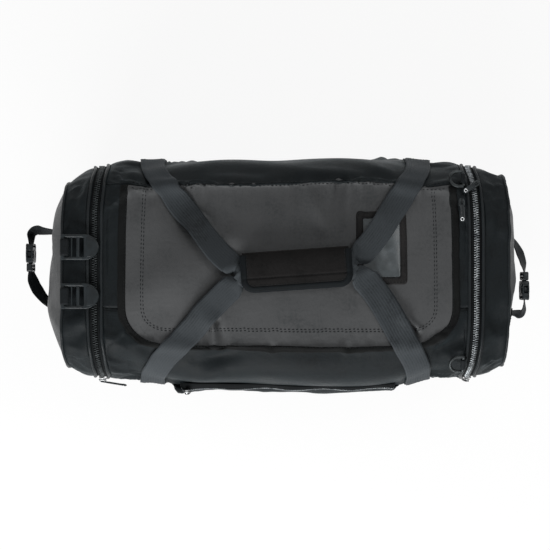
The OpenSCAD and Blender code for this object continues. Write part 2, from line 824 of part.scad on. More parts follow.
module d_ring_tabs() {
    color(black_fabric)
        for (s = [-1, 1])
            on_shoulder(s)
                mirror([1, 0, 0])
                    bar_loop(wire_r, ring_in - 4, ring_lift + 2, 6);
}

// Zip sliders with a bridge pin, and pulls that hang on it. A slider's own X is
// the way its pull lies, and its own Z is out of the fabric.
slider_l = 12;
slider_w = 9;
slider_t = 4;
pin_r = 0.9;
pin_z = slider_t + 2;
ear_t = 1.5;
pull_t = 2.2;
pull_w = 8;
module slider_body() {
    color(metal_grey)
        union() {
            translate([-slider_l / 2, -slider_w / 2, 0])
                cube([slider_l, slider_w, slider_t]);
            for (s = [-1, 1])
                translate([-2, s * (slider_w / 2 - ear_t / 2) - ear_t / 2, 0])
                    cube([4, ear_t, pin_z + pin_r + 0.8]);
            translate([0, 0, pin_z])
                rotate([90, 0, 0])
                    cylinder(r = pin_r, h = slider_w - 1, center = true);
        }
}
module pull_tab(length) {
    eye_w = slider_w - 2 * ear_t - 0.8;
    hole_r = 2;
    color(trim_black)
        translate([0, 0, pin_z])
            difference() {
                union() {
                    rotate([90, 0, 0])
                        cylinder(r = pin_r + pin_gap + 0.9, h = eye_w, center = true);
                    translate([0, -eye_w / 2, -pull_t / 2])
                        cube([slider_l / 2 + 2, eye_w, pull_t]);
                    translate([slider_l / 2 + 1, -pull_w / 2, -pull_t / 2])
                        cube([length - slider_l / 2 - 1, pull_w, pull_t]);
                    translate([length, 0, -pull_t / 2])
                        cylinder(r = pull_w / 2, h = pull_t);
                }
                rotate([90, 0, 0])
                    cylinder(r = pin_r + pin_gap, h = eye_w + 1, center = true);
                translate([length, 0, -pull_t])
                    cylinder(r = hole_r, h = 2 * pull_t);
            }
}
slider_gap = 0.4;
teeth_d = -teeth_h - slider_gap;
// Places of the sliders: on the lid zip, on the right zip and on the left zip
module at_lid_zip() {
    x = lid_right + binding_w + 2;
    y = hinge_y - lid_slider_back;
    rise = top_z(x, y - lid_pull_l) - top_z(x, y);
    translate([x, y, top_z(x, y) + 2 * slider_gap])
        rotate([-atan(rise / lid_pull_l), 0, 0])
            rotate([0, 0, -90])
                children();
}
top_pull_turn = 213;
module at_right_top() {
    reach = top_pull_l + pull_w / 2;
    x1 = zip_x + reach * cos(top_pull_turn);
    y1 = hinge_y + reach * sin(top_pull_turn);
    low = top_z(zip_x, hinge_y, teeth_d);
    translate([zip_x, hinge_y, low + 5 * slider_gap])
        rotate([0, 0, top_pull_turn])
            rotate([0, -atan((top_z(x1, y1) - low) / reach), 0])
                children();
}
side_slider_z = 215;
function zip_side_y(z) = -section(zip_x, side_angle(zip_x, z), teeth_d)[1] - slider_gap;
module at_right_front() {
    translate([zip_x, zip_side_y(side_slider_z), side_slider_z])
        rotate([90, 90, 0])
            children();
}
// The left pull lies along the side, which widens away from the zip
side_flare = atan((half_w(zip_x - pull_l) - half_w(zip_x)) / pull_l);
module at_left_front() {
    translate([-zip_x, zip_side_y(side_slider_z) - slider_l / 2 * sin(side_flare), side_slider_z])
        rotate([90, 0, -side_flare])
            children();
}
pocket_slider_x = pocket_zip_left + 10;
function pocket_y() = let (a = side_angle(0, pocket_high - slider_l / 2))
    -section(0, a, -seam_gap - zip_tape_t - teeth_h)[1] - slider_gap;
module at_pocket() {
    translate([pocket_slider_x, pocket_y(), pocket_high])
        rotate([90, 90, 0])
            children();
}
module lid_slider() {
    at_lid_zip()
        slider_body();
}
module right_top_slider() {
    at_right_top()
        slider_body();
}
module right_front_slider() {
    at_right_front()
        slider_body();
}
module left_front_slider() {
    at_left_front()
        slider_body();
}
module pocket_slider() {
    at_pocket()
        slider_body();
}
module lid_pull() {
    at_lid_zip()
        pull_tab(lid_pull_l);
}
module right_top_pull() {
    at_right_top()
        pull_tab(top_pull_l);
}
module right_front_pull() {
    at_right_front()
        pull_tab(pull_l);
}
module left_front_pull() {
    at_left_front()
        pull_tab(pull_l);
}
module pocket_pull() {
    at_pocket()
        pull_tab(pull_l);
}

base_panel();
base_board();
front_panel();
back_panel();
left_top_gusset();
right_top_gusset();
left_divider();
right_divider();
lid_zip_body_half();
left_zip_body_half();
right_zip_body_half();
left_body_piping();
right_body_piping();
front_pocket();
pocket_zip();
front_side_webbing();
back_side_webbing();
d_ring_tabs();
lid_slider();
right_top_slider();
right_front_slider();
left_front_slider();
lid_panel();
lid_binding();
lid_zip_lid_half();
card_pocket_frame();
card_window();
front_strap();
back_strap();
wrap_base();
wrap_flap();
left_end_gusset();
left_end_face();
left_zip_cap_half();
left_cap_piping();
left_handle_tab();
left_handle_strap();
left_buckle_female();
left_buckle_male();
ladder_lock_tabs();
ladder_lock_back();
ladder_lock_front();
right_end_gusset();
right_end_face();
right_zip_cap_half();
right_cap_piping();
right_handle_tab();
right_handle_strap();
right_buckle_female();
right_buckle_male();
d_ring_back();
d_ring_front();
lid_pull();
right_top_pull();
right_front_pull();
left_front_pull();
pocket_slider();
pocket_pull();
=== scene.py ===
"""Soft sports kit bag: cloth skin, zips, webbing and fittings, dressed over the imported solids.

The frame is in metres: X along the bag, +Y the lid's hinge side, Z up from the ground.
The cloth skin is one simulated tube. Every panel, seam, zip and strap is laid on it.
"""
import json
import math

import bmesh
import bpy
import numpy as np
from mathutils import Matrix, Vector


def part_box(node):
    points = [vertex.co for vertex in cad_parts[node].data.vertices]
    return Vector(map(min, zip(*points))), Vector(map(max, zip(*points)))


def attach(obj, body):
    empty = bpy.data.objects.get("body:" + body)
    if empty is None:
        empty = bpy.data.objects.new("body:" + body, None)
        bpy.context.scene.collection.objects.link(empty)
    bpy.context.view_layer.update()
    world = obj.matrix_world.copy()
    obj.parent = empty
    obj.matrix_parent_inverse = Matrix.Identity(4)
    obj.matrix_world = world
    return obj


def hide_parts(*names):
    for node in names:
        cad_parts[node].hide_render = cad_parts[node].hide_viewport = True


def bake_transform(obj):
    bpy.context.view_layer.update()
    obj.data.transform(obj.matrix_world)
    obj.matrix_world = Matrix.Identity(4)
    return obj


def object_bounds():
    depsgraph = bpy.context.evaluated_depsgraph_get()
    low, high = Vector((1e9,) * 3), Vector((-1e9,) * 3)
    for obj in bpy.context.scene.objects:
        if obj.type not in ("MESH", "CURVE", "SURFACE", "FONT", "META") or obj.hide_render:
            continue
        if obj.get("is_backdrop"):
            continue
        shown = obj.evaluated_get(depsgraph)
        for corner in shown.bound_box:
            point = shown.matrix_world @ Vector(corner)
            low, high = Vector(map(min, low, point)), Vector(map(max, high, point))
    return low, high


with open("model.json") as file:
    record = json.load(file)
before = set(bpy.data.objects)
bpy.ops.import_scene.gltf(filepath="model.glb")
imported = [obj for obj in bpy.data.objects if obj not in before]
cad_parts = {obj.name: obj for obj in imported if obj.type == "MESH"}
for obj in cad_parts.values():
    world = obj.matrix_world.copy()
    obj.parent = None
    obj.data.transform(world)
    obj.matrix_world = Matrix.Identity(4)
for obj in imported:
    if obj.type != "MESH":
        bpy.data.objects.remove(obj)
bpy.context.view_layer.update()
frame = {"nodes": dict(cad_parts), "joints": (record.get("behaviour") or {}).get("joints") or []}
scene = bpy.context.scene

# Sizes of the bag in metres, as in the solids
BODY_W = 0.356
ZIP_W = 0.322
BODY_H = 0.335
END_DROP = 0.010
ZIP_X = 0.282
END_X = 0.332
PANEL_X = 0.270
CAP_X = 0.294
DIVIDER_X = 0.264
BASE_W = 0.260
BASE_T = 0.003
LID_LEFT = -0.236
LID_RIGHT = 0.246
LID_FRONT = -0.113
LID_R = 0.060
HINGE_Y = 0.130
STRAP_X = 0.202
STRAP_W = 0.038
WRAP_X = 0.016
WRAP_Y = 0.002
WRAP_L = 0.162
WRAP_W = 0.056
WRAP_R = 0.018
WRAP_TURN = math.radians(4)
# Powers of the section's rounded square: its upper half is rounder than its lower half
N_TOP = 4.5
N_BOT = 8.0
MM = 0.001
UP = np.array([0, 0, 1.0])


# Shape of the skin

def half_width(x):
    return BODY_W / 2 - (BODY_W - ZIP_W) / 2 * (np.abs(x) / ZIP_X) ** 3


def top_height(x):
    return BODY_H - END_DROP * (np.abs(x) / ZIP_X) ** 3


def signed_power(v, e):
    return np.sign(v) * np.abs(v) ** e


def section(x, a, inset=0.0):
    """Points of the rounded-square section at length x and angle a, both arrays."""
    power = np.where(np.sin(a) >= 0, 2 / N_TOP, 2 / N_BOT)
    mid = top_height(x) / 2
    y = (half_width(x) - inset) * signed_power(np.cos(a), power)
    z = mid + (mid - inset) * signed_power(np.sin(a), power)
    return np.stack([x + 0 * a, y, z], axis=-1)


def base_angle(x):
    return np.arccos((BASE_W / 2 / half_width(x)) ** (N_BOT / 2))


def top_angle(x, y):
    return np.arccos(np.clip(signed_power(y / half_width(x), N_TOP / 2), -1, 1))


def side_angle(x, z):
    mid = top_height(x) / 2
    n = np.where(z >= mid, N_TOP, N_BOT)
    return np.arcsin(np.clip(signed_power((z - mid) / mid, n / 2), -1, 1))


def smooth(t):
    t = np.clip(t, 0, 1)
    return t * t * (3 - 2 * t)


def catmull(values, factor):
    """Refines an array along its first axis with a smooth curve through its points."""
    n = len(values)
    t = np.linspace(0, n - 1, (n - 1) * factor + 1)
    i = np.minimum(t.astype(int), n - 2)
    f = (t - i).reshape((-1,) + (1,) * (values.ndim - 1))
    before = values[np.maximum(i - 1, 0)]
    start = values[i]
    end = values[i + 1]
    after = values[np.minimum(i + 2, n - 1)]
    bend = 2 * before - 5 * start + 4 * end - after
    turn = 3 * (start - end) + after - before
    return start + 0.5 * f * (end - before + f * (bend + f * turn))


def grid_normals(points):
    along = np.gradient(points, axis=0)
    across = np.gradient(points, axis=1)
    normal = np.cross(along, across)
    return normal / np.maximum(np.linalg.norm(normal, axis=-1, keepdims=True), 1e-12)


# Soft folds seen in the cloth of the top: two ends in plan, width and height in metres
TOP_FOLDS = [
    (-0.108, -0.064, -0.105, -0.111, 0.0042, 0.0065),
    (-0.120, -0.058, -0.106, -0.082, 0.0045, 0.0045),
    (-0.098, -0.070, -0.104, -0.080, 0.0030, -0.0045),
    (-0.098, -0.078, -0.088, -0.110, 0.0060, -0.0040),
    (-0.118, -0.080, -0.116, -0.110, 0.0050, -0.0040),
    (-0.130, -0.136, -0.076, -0.124, 0.0120, -0.0085),
    (-0.100, -0.150, -0.130, -0.166, 0.010, 0.0050),
    (0.172, -0.062, 0.198, -0.086, 0.0045, 0.0060),
    (0.190, -0.074, 0.188, -0.102, 0.0055, -0.0055),
    (0.178, -0.080, 0.176, -0.100, 0.0050, 0.0035),
    (0.150, -0.030, 0.188, -0.074, 0.007, 0.0028),
    (-0.095, 0.060, -0.060, 0.035, 0.018, 0.0080),
    (-0.150, 0.108, 0.200, 0.106, 0.044, -0.0070),
    (0.030, 0.128, 0.055, 0.064, 0.012, 0.0055),
    (0.080, 0.128, 0.075, 0.080, 0.010, -0.0045),
    (-0.020, 0.150, 0.110, 0.140, 0.010, 0.0060),
    (-0.110, 0.158, 0.020, 0.146, 0.009, -0.0050),
    (0.120, 0.160, 0.170, 0.136, 0.010, 0.0050),
    (-0.246, 0.150, -0.200, 0.142, 0.008, 0.0040),
    (-0.215, -0.040, -0.130, 0.006, 0.034, 0.0065),
    (-0.160, 0.098, -0.108, 0.066, 0.027, -0.0110),
    (-0.262, -0.100, -0.205, -0.136, 0.010, 0.0050),
    (-0.262, -0.130, -0.225, -0.150, 0.008, -0.0045),
    (0.215, -0.128, 0.262, -0.100, 0.010, -0.0050),
    (0.222, -0.116, 0.250, -0.088, 0.007, 0.0040),
    (0.252, -0.030, 0.262, 0.060, 0.006, 0.0030),
    (-0.325, 0.080, -0.295, 0.112, 0.010, 0.0040),
    (-0.325, -0.090, -0.296, -0.070, 0.010, 0.0040),
    (0.298, -0.066, 0.325, -0.082, 0.012, -0.0040),
    (0.298, 0.070, 0.325, 0.100, 0.012, 0.0040),
    (0.300, -0.020, 0.330, 0.030, 0.016, 0.0030),
]


def fold_height(x, y):
    """Height of the listed folds at places in plan."""
    total = np.zeros_like(x)
    for x0, y0, x1, y1, width, height in TOP_FOLDS:
        dx, dy = x1 - x0, y1 - y0
        t = ((x - x0) * dx + (y - y0) * dy) / (dx * dx + dy * dy)
        near = np.clip(t, 0, 1)
        gap = np.hypot(x - x0 - near * dx, y - y0 - near * dy)
        total += height * np.exp(-(gap / width) ** 2) * (0.55 + 0.45 * np.sin(np.pi * near))
    return total


def seam_pucker(x, y):
    """Small gathers that the lid's hinge seam and the front binding draw in the cloth."""
    wave = np.sin(x * 230 + 1.9 * np.sin(x * 61) + (HINGE_Y - y) * 25)
    wave = wave * (0.65 + 0.35 * np.sin(x * 19 - 0.6))
    reach = np.where(y < HINGE_Y, 0.022, 0.010)
    back = 0.0026 * np.exp(-np.abs(y - HINGE_Y) / reach) * smooth(np.abs(y - HINGE_Y) / 0.004)
    front = 0.0012 * np.exp(-np.abs(y - LID_FRONT - 0.014) / 0.012)
    return wave * (back + front)


def skin_angle(x, s):
    a = base_angle(x)
    return -a + s * (np.pi + 2 * a)


def run_length(points):
    """Length along a line of points, from its first point to each."""
    return np.concatenate([[0], np.cumsum(np.linalg.norm(np.diff(points, axis=0), axis=1))])


def even_shares(count):
    """Shares of the way round the section that lie evenly along it."""
    trial = np.linspace(0, 1, 4001)
    length = run_length(section(np.zeros_like(trial), skin_angle(np.array(0.0), trial)))
    return np.interp(np.linspace(0, length[-1], count), length, trial)


SKIN_X = np.linspace(-END_X, END_X, 101)
SKIN_S = even_shares(161)
REFINE = 3


def wave_noise(points, size, seed):
    """Smooth seeded noise from a few crossed waves, about -1 to 1."""
    rng = np.random.default_rng(seed)
    total = np.zeros(points.shape[:-1])
    for _ in range(9):
        way = rng.normal(size=3)
        way *= rng.uniform(0.6, 1.5) / np.linalg.norm(way) * 2 * np.pi / size
        total += np.sin(points @ way + rng.uniform(0, 6.28))
    return total / 4


def grid_faces(nu, nv, start=0, flip=False):
    index = np.arange(nu * nv).reshape(nu, nv) + start
    quads = np.stack([index[:-1, :-1], index[1:, :-1], index[1:, 1:], index[:-1, 1:]], axis=-1)
    quads = quads.reshape(-1, 4)
    return (quads[:, ::-1] if flip else quads).tolist()


# Frames in which the cloth settles, and the most it may move out, in and along from its cut form
SETTLE_FRAMES = 24
MOST_OUT = 8 * MM
MOST_IN = 7 * MM
MOST_ALONG = 4 * MM


def simulate_skin(rest):
    """Blows the sewn tube up a little as cloth, held at its seams, so that it buckles between them."""
    nu, nv = rest.shape[:2]
    normal = -grid_normals(rest)
    start = rest + normal * (wave_noise(rest, 0.06, 5) * 0.0012)[..., None]
    mesh = bpy.data.meshes.new("skin_cloth")
    mesh.from_pydata(start.reshape(-1, 3).tolist(), [], grid_faces(nu, nv))
    cloth_object = bpy.data.objects.new("skin_cloth", mesh)
    scene.collection.objects.link(cloth_object)
    x = rest[..., 0]
    y = rest[..., 1]
    top = rest[..., 2] > 0.26
    hinge = top & (np.abs(y - HINGE_Y) < 0.005) & (np.abs(x) < 0.262)
    lid_front = top & (np.abs(y - LID_FRONT) < 0.005)
    lid_front &= (x > LID_LEFT + 0.03) & (x < LID_RIGHT - 0.03)
    side = (np.abs(np.abs(x) - STRAP_X) < 0.012) & ~top
    held = np.zeros((nu, nv))
    held[np.abs(np.abs(x) - ZIP_X) < 0.014] = 1
    held[np.abs(np.abs(x) - END_X) < 0.004] = 1
    held[:, :2] = 1
    held[:, -2:] = 1
    held[hinge] = 0.9
    held[lid_front] = 0.6
    held[side] = 0.7
    group = cloth_object.vertex_groups.new(name="seams")
    for k, weight in enumerate(held.ravel()):
        if weight > 0:
            group.add([k], float(weight), "REPLACE")
    cloth = cloth_object.modifiers.new("cloth", "CLOTH")
    settings = cloth.settings
    settings.quality = 5
    settings.mass = 0.3
    settings.tension_stiffness = 22
    settings.compression_stiffness = 22
    settings.shear_stiffness = 8
    settings.bending_stiffness = 0.6
    settings.air_damping = 2
    settings.shrink_min = -0.035
    settings.use_pressure = True
    settings.uniform_pressure_force = 1.6
    settings.vertex_group_mass = "seams"
    settings.pin_stiffness = 1
    settings.effector_weights.gravity = 0.4
    cloth.collision_settings.use_collision = False
    cloth.point_cache.frame_start = 1
    cloth.point_cache.frame_end = SETTLE_FRAMES + 2
    for step in range(SETTLE_FRAMES):
        scene.frame_set(step + 1)
    result = np.empty(nu * nv * 3)
    shaped = cloth_object.evaluated_get(bpy.context.evaluated_depsgraph_get())
    shaped.data.vertices.foreach_get("co", result)
    bpy.data.objects.remove(cloth_object)
    bpy.data.meshes.remove(mesh)
    scene.frame_set(1)
    moved = result.reshape(nu, nv, 3) - rest
    out = np.sum(moved * normal, axis=-1)
    along = moved - out[..., None] * normal
    reach = np.linalg.norm(along, axis=-1, keepdims=True)
    along *= np.minimum(1, MOST_ALONG / np.maximum(reach, 1e-9))
    most = np.where(out > 0, MOST_OUT, MOST_IN)
    return rest + along + (most * np.tanh(out / most))[..., None] * normal


def swell(x, height, middle, width):
    return height * np.exp(-((x - middle) / width) ** 2)


def slump(points):
    """Draws the plan in where the real bag slackens: bowed end seams, a slack left end, pinched sides."""
    x, y, z = points[..., 0], points[..., 1], points[..., 2]
    size = np.abs(x)
    high = smooth((z - 0.225) / 0.06)
    near_zip = smooth((size - 0.215) / 0.067) * (1 - 0.45 * smooth((size - ZIP_X) / 0.05))
    bow = np.where(x > 0, 0.010, 0.008) * np.clip(np.abs(y) / 0.161, 0, 1) ** 4 * near_zip * high
    end = smooth((size - 0.288) / 0.055)
    left_taper = np.where(y > 0, 0.105, 0.035)
    right_taper = np.where(y > 0, 0.02, 0.045)
    taper = np.where(x < 0, left_taper, right_taper) * end
    wide = smooth((np.abs(y) - 0.05) / 0.10)
    back = swell(x, 0.0050, 0.085, 0.075) - swell(x, 0.0050, 0.205, 0.030) - swell(x, 0.0040, -0.200, 0.035)
    front = swell(x, 0.0045, 0.060, 0.100) - swell(x, 0.0075, 0.215, 0.032) - swell(x, 0.0060, -0.215, 0.045)
    sway = np.where(y > 0, back, front) * wide * smooth(z / 0.12)
    moved = points.copy()
    moved[..., 0] = x - np.sign(x) * bow
    moved[..., 1] = y * (1 - taper) + np.sign(y) * sway
    return moved


def blurred(table, passes):
    """The table with its bumps evened out. Its border stays."""
    table = table.copy()
    for _ in range(passes):
        table[1:-1] = (table[:-2] + 2 * table[1:-1] + table[2:]) / 4
        table[:, 1:-1] = (table[:, :-2] + 2 * table[:, 1:-1] + table[:, 2:]) / 4
    return table


def build_skin():
    x, s = np.meshgrid(SKIN_X, SKIN_S, indexing="ij")
    rest = section(x, skin_angle(x, s))
    shape = simulate_skin(rest)
    fine = catmull(shape, REFINE)
    fine = np.swapaxes(catmull(np.swapaxes(fine, 0, 1), REFINE), 0, 1)
    normal = -grid_normals(fine)
    flat = np.clip((normal[..., 2] - 0.15) / 0.5, 0, 1)
    fine = fine + (blurred(fine, 14) - fine) * (1 - 0.6 * flat[..., None])
    lift = fold_height(fine[..., 0], fine[..., 1]) * flat
    lift += seam_pucker(fine[..., 0], fine[..., 1]) * flat
    lift += flat * (wave_noise(fine, 0.20, 7) * 0.0026 + wave_noise(fine, 0.085, 9) * 0.0009)
    away = np.clip(np.abs(np.abs(fine[..., 0]) - ZIP_X) / 0.02, 0, 1)
    lift *= smooth(away)
    wall = np.clip((fine[..., 2] - 0.02) / 0.05, 0, 1) * smooth(away) * (1 - flat)
    lift += wall * wave_noise(fine, 0.16, 11) * 0.0022
    fine = slump(fine + normal * lift[..., None])
    return fine, -grid_normals(fine)


SKIN, SKIN_NORMAL = build_skin()


def sample(table, i, j):
    i0 = np.clip(i.astype(int), 0, table.shape[0] - 2)
    j0 = np.clip(j.astype(int), 0, table.shape[1] - 2)
    fi = (i - i0)[..., None]
    fj = (j - j0)[..., None]
    low = table[i0, j0] * (1 - fj) + table[i0, j0 + 1] * fj
    high = table[i0 + 1, j0] * (1 - fj) + table[i0 + 1, j0 + 1] * fj
    return low * (1 - fi) + high * fi


def skin_place(x, a):
    x = np.asarray(x, float)
    a = np.asarray(a, float)
    i = (x + END_X) / (2 * END_X) * (SKIN.shape[0] - 1)
    low = base_angle(x)
    s = np.clip((a + low) / (np.pi + 2 * low), 0, 1)
    j = np.interp(s, SKIN_S, np.arange(len(SKIN_S))) * REFINE
    return i, j


def lifted(table, normals, x, a, lift):
    i, j = skin_place(x, a)
    return sample(table, i, j) + sample(normals, i, j) * np.asarray(lift)[..., None]


def outward(normals, x, a):
    n = sample(normals, *skin_place(x, a))
    return n / np.linalg.norm(n, axis=-1, keepdims=True)


def skin(x, a, lift=0.0):
    """Points on the shaped skin, lifted along its outward normal."""
    return lifted(SKIN, SKIN_NORMAL, x, a, lift)


def skin_normal(x, a):
    return outward(SKIN_NORMAL, x, a)


def build_bed():
    """The surface that taut webbing lies on: it bridges the wrinkles of the skin."""
    table = blurred(SKIN, 40)
    normal = -grid_normals(table)
    proud = np.sum((SKIN - table) * normal, axis=-1)
    for _ in range(2):
        proud[1:-1] = np.maximum(np.maximum(proud[:-2], proud[2:]), proud[1:-1])
        proud[:, 1:-1] = np.maximum(np.maximum(proud[:, :-2], proud[:, 2:]), proud[:, 1:-1])
    table = table + normal * blurred(np.maximum(proud, 0), 12)[..., None]
    return table, -grid_normals(table)


BED, BED_NORMAL = build_bed()


def bed(x, a, lift=0.0):
    return lifted(BED, BED_NORMAL, x, a, lift)


def bed_normal(x, a):
    return outward(BED_NORMAL, x, a)


def skin_coordinates(points):
    """Length and angle on the skin of points near its first, unslumped form."""
    x = np.clip(points[..., 0], -END_X, END_X)
    mid = top_height(x) / 2
    up = (points[..., 2] - mid) / mid
    power = np.where(up >= 0, N_TOP, N_BOT) / 2
    a = np.arctan2(signed_power(up, power), signed_power(points[..., 1] / half_width(x), power))
    return x, np.where(a < -np.pi / 2, a + 2 * np.pi, a)


def skin_top(x, y, lift=0.0):
    return skin(x, top_angle(x, y), lift)


# Making meshes

def put(name, parts, body, material, nodes=(), crease=None):
    """One object from (points, faces, uv) parts, riding on a body and standing for CAD nodes."""
    points = []
    faces = []
    places = []
    count = 0
    for part_points, part_faces, part_uv in parts:
        points.append(np.asarray(part_points, float).reshape(-1, 3))
        places.append(np.asarray(part_uv, float).reshape(-1, 2))
        faces += [[k + count for k in face] for face in part_faces]
        count += len(points[-1])
    points = np.concatenate(points)
    if body or nodes:
        points[:, 2] = np.maximum(points[:, 2], 0.2 * MM)
    places = np.concatenate(places)
    mesh = bpy.data.meshes.new(name)
    mesh.from_pydata(points.tolist(), [], faces)
    layer = mesh.uv_layers.new(name="cut")
    corner = np.empty(len(mesh.loops), int)
    mesh.loops.foreach_get("vertex_index", corner)
    layer.data.foreach_set("uv", places[corner].ravel())
    shape = bmesh.new()
    shape.from_mesh(mesh)
    bmesh.ops.remove_doubles(shape, verts=shape.verts, dist=1e-6)
    bmesh.ops.recalc_face_normals(shape, faces=shape.faces)
    shape.to_mesh(mesh)
    shape.free()
    mesh.polygons.foreach_set("use_smooth", [True] * len(mesh.polygons))
    if crease:
        mesh.set_sharp_from_angle(angle=math.radians(crease))
    mesh.materials.append(material)
    mesh.update()
    piece = bpy.data.objects.new(name, mesh)
    scene.collection.objects.link(piece)
    if body:
        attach(piece, body)
    if nodes:
        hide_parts(*nodes)
    return piece


def cut_places(outer):
    """Cloth coordinates of a grid in metres, measured along its two middle lines."""
    nu, nv = outer.shape[:2]
    lengths = run_length(outer[:, nv // 2]), run_length(outer[nu // 2])
    return np.stack(np.meshgrid(*lengths, indexing="ij"), axis=-1)


def sheet(outer, inner, ring=False):
    """A closed cloth sheet between two grids of the same size, rolled over at its edges.

    With ring, the first and last columns meet, so no edge is made there.
    """
    nu, nv = outer.shape[:2]
    n = nu * nv
    faces = grid_faces(nu, nv, 0, True) + grid_faces(nu, nv, n)
    index = np.arange(n).reshape(nu, nv)
    rim = np.concatenate([index[:-1, 0], index[-1, :-1], index[:0:-1, -1], index[0, :0:-1]])
    after = np.roll(rim, -1)
    if ring:
        rim = np.concatenate([index[-1, :-1], index[0, :0:-1]])
        after = np.concatenate([index[-1, 1:], index[0, -2::-1]])
    faces += np.stack([rim, after, after + n, rim + n], axis=-1)[:, ::-1].tolist()
    place = cut_places(outer).reshape(-1, 2)
    points = np.concatenate([outer.reshape(-1, 3), inner.reshape(-1, 3)])
    return points, faces, np.concatenate([place] * 2)


def unit(v):
    return v / np.maximum(np.linalg.norm(v, axis=-1, keepdims=True), 1e-12)


def webbing(points, normals, width, thick, cup=0.0, steps=11, cling=None, lift=None, guide=None):
    """Flat woven tape along points. Width and cup may change from point to point.

    Where cling is 1, the tape lies on the bed at the given lift all across its width. Its path
    there is the guide, on the unslumped form.
    """
    points = np.asarray(points, float)
    normals = unit(np.asarray(normals, float))
    way = unit(np.gradient(points, axis=0))
    side = unit(np.cross(normals, way))
    up = unit(np.cross(way, side))
    count = len(points)
    width = np.broadcast_to(width, count)[:, None, None]
    cup = np.broadcast_to(cup, count)[:, None]
    v = np.linspace(-1, 1, steps)
    edge = np.maximum((1 - np.abs(v) ** 10) ** 0.5, 0.25)
    middle = points[:, None] + side[:, None] * v[None, :, None] * width / 2
    middle = middle + up[:, None] * (cup * (v * v)[None])[..., None]
    if cling is not None:
        flat = np.asarray(guide)[:, None] + side[:, None] * v[None, :, None] * width / 2
        laid = bed(*skin_coordinates(flat), np.broadcast_to(np.asarray(lift)[:, None], middle.shape[:2]))
        hold = np.asarray(cling)[:, None, None]
        middle = middle * (1 - hold) + laid * hold
    rise = up[:, None] * (edge * thick / 2)[None, :, None]
    return sheet(middle + rise, middle - rise)


def tube(points, radius, sides=8, closed=False):
    """A round cord along points. Its radius may change from point to point."""
    points = np.asarray(points, float)
    if closed:
        way = unit(np.roll(points, -1, 0) - np.roll(points, 1, 0))
    else:
        way = unit(np.gradient(points, axis=0))
    guide = np.array([0.31, 0.22, 0.93])
    side = unit(np.cross(way, guide))
    up = np.cross(way, side)
    a = np.linspace(0, 2 * np.pi, sides, endpoint=False)
    radius = np.broadcast_to(radius, len(points))[:, None, None]
    ring = side[:, None] * np.cos(a)[None, :, None] + up[:, None] * np.sin(a)[None, :, None]
    verts = points[:, None] + ring * radius
    count = len(points)
    faces = []
    for i in range(count if closed else count - 1):
        j = (i + 1) % count
        for k in range(sides):
            m = (k + 1) % sides
            faces.append([i * sides + k, i * sides + m, j * sides + m, j * sides + k])
    if not closed:
        faces.append(list(range(sides))[::-1])
        faces.append([(count - 1) * sides + k for k in range(sides)])
    run = run_length(points)
    place = np.stack(np.broadcast_arrays(run[:, None], (a * 0.004)[None]), axis=-1)
    return verts.reshape(-1, 3), faces, place.reshape(-1, 2)


def along(points, pitch):
    """Evenly spaced places on a line of points: index position of each."""
    run = run_length(points)
    count = max(int(run[-1] / pitch), 2)
    return np.interp((np.arange(count) + 0.5) * run[-1] / count, run, np.arange(len(points)))


def at(values, places):
    i = np.clip(places.astype(int), 0, len(values) - 2)
    f = (places - i)[:, None]
    return values[i] * (1 - f) + values[i + 1] * f


def repeated(verts, shape):
    """Many small solids of one shape: their points in rows, and the faces of the first."""
    count, size = verts.shape[:2]
    faces = [[k * size + c for c in face] for k in range(count) for face in shape]
    return verts.reshape(-1, 3), faces, np.zeros((count * size, 2))


def thread(points, normals, length=4.2 * MM, pitch=6.0 * MM, radius=0.55 * MM):
    """A row of single stitches on a seam, each a small spindle that dips into the cloth at its ends."""
    places = along(points, pitch)
    middle = at(points, places)
    way = unit(at(np.gradient(points, axis=0), places))
    up = unit(at(normals, places))
    side = np.cross(up, way)
    rows = [middle - way * length / 2 - up * radius]
    for shoulder in (middle - way * length / 4, middle + way * length / 4):
        rows += [shoulder + side * radius, shoulder + up * radius, shoulder - side * radius]
    rows.append(middle + way * length / 2 - up * radius)
    verts = np.stack(rows, axis=1)
    shape = [[0, 2, 1], [0, 3, 2], [1, 2, 5, 4], [2, 3, 6, 5], [4, 5, 7], [5, 6, 7]]
    shape += [[0, 1, 4, 7], [0, 7, 6, 3]]
    return repeated(verts, shape)


def teeth(points, normals, across, shift, pitch=3.6 * MM, reach=4.0 * MM, high=2.2 * MM):
    """Moulded zip teeth beside a line: across points to the tape that carries them."""
    run = run_length(points)
    count = int(run[-1] / pitch)
    places = np.interp((np.arange(count) + shift) * pitch, run, np.arange(len(points)))
    middle = at(points, places)
    way = unit(at(np.gradient(points, axis=0), places)) * pitch * 0.25
    up = unit(at(normals, places))
    side = unit(at(across, places))
    corner = []
    for lift, narrow in ((-0.2 * MM, 1.0), (high * 0.7, 1.0), (high, 0.55)):
        head = middle + up * lift - side * (1.0 * MM * narrow)
        tail = middle + up * lift + side * (reach * (0.8 + 0.2 * narrow))
        corner += [head - way * narrow * 0.8, head + way * narrow * 0.8]
        corner += [tail + way * narrow, tail - way * narrow]
    verts = np.stack(corner, axis=1)
    shape = [[3, 2, 1, 0], [8, 9, 10, 11]]
    for base in (0, 4):
        shape += [[base + k, base + (k + 1) % 4, base + 4 + (k + 1) % 4, base + 4 + k] for k in range(4)]
    return repeated(verts, shape)


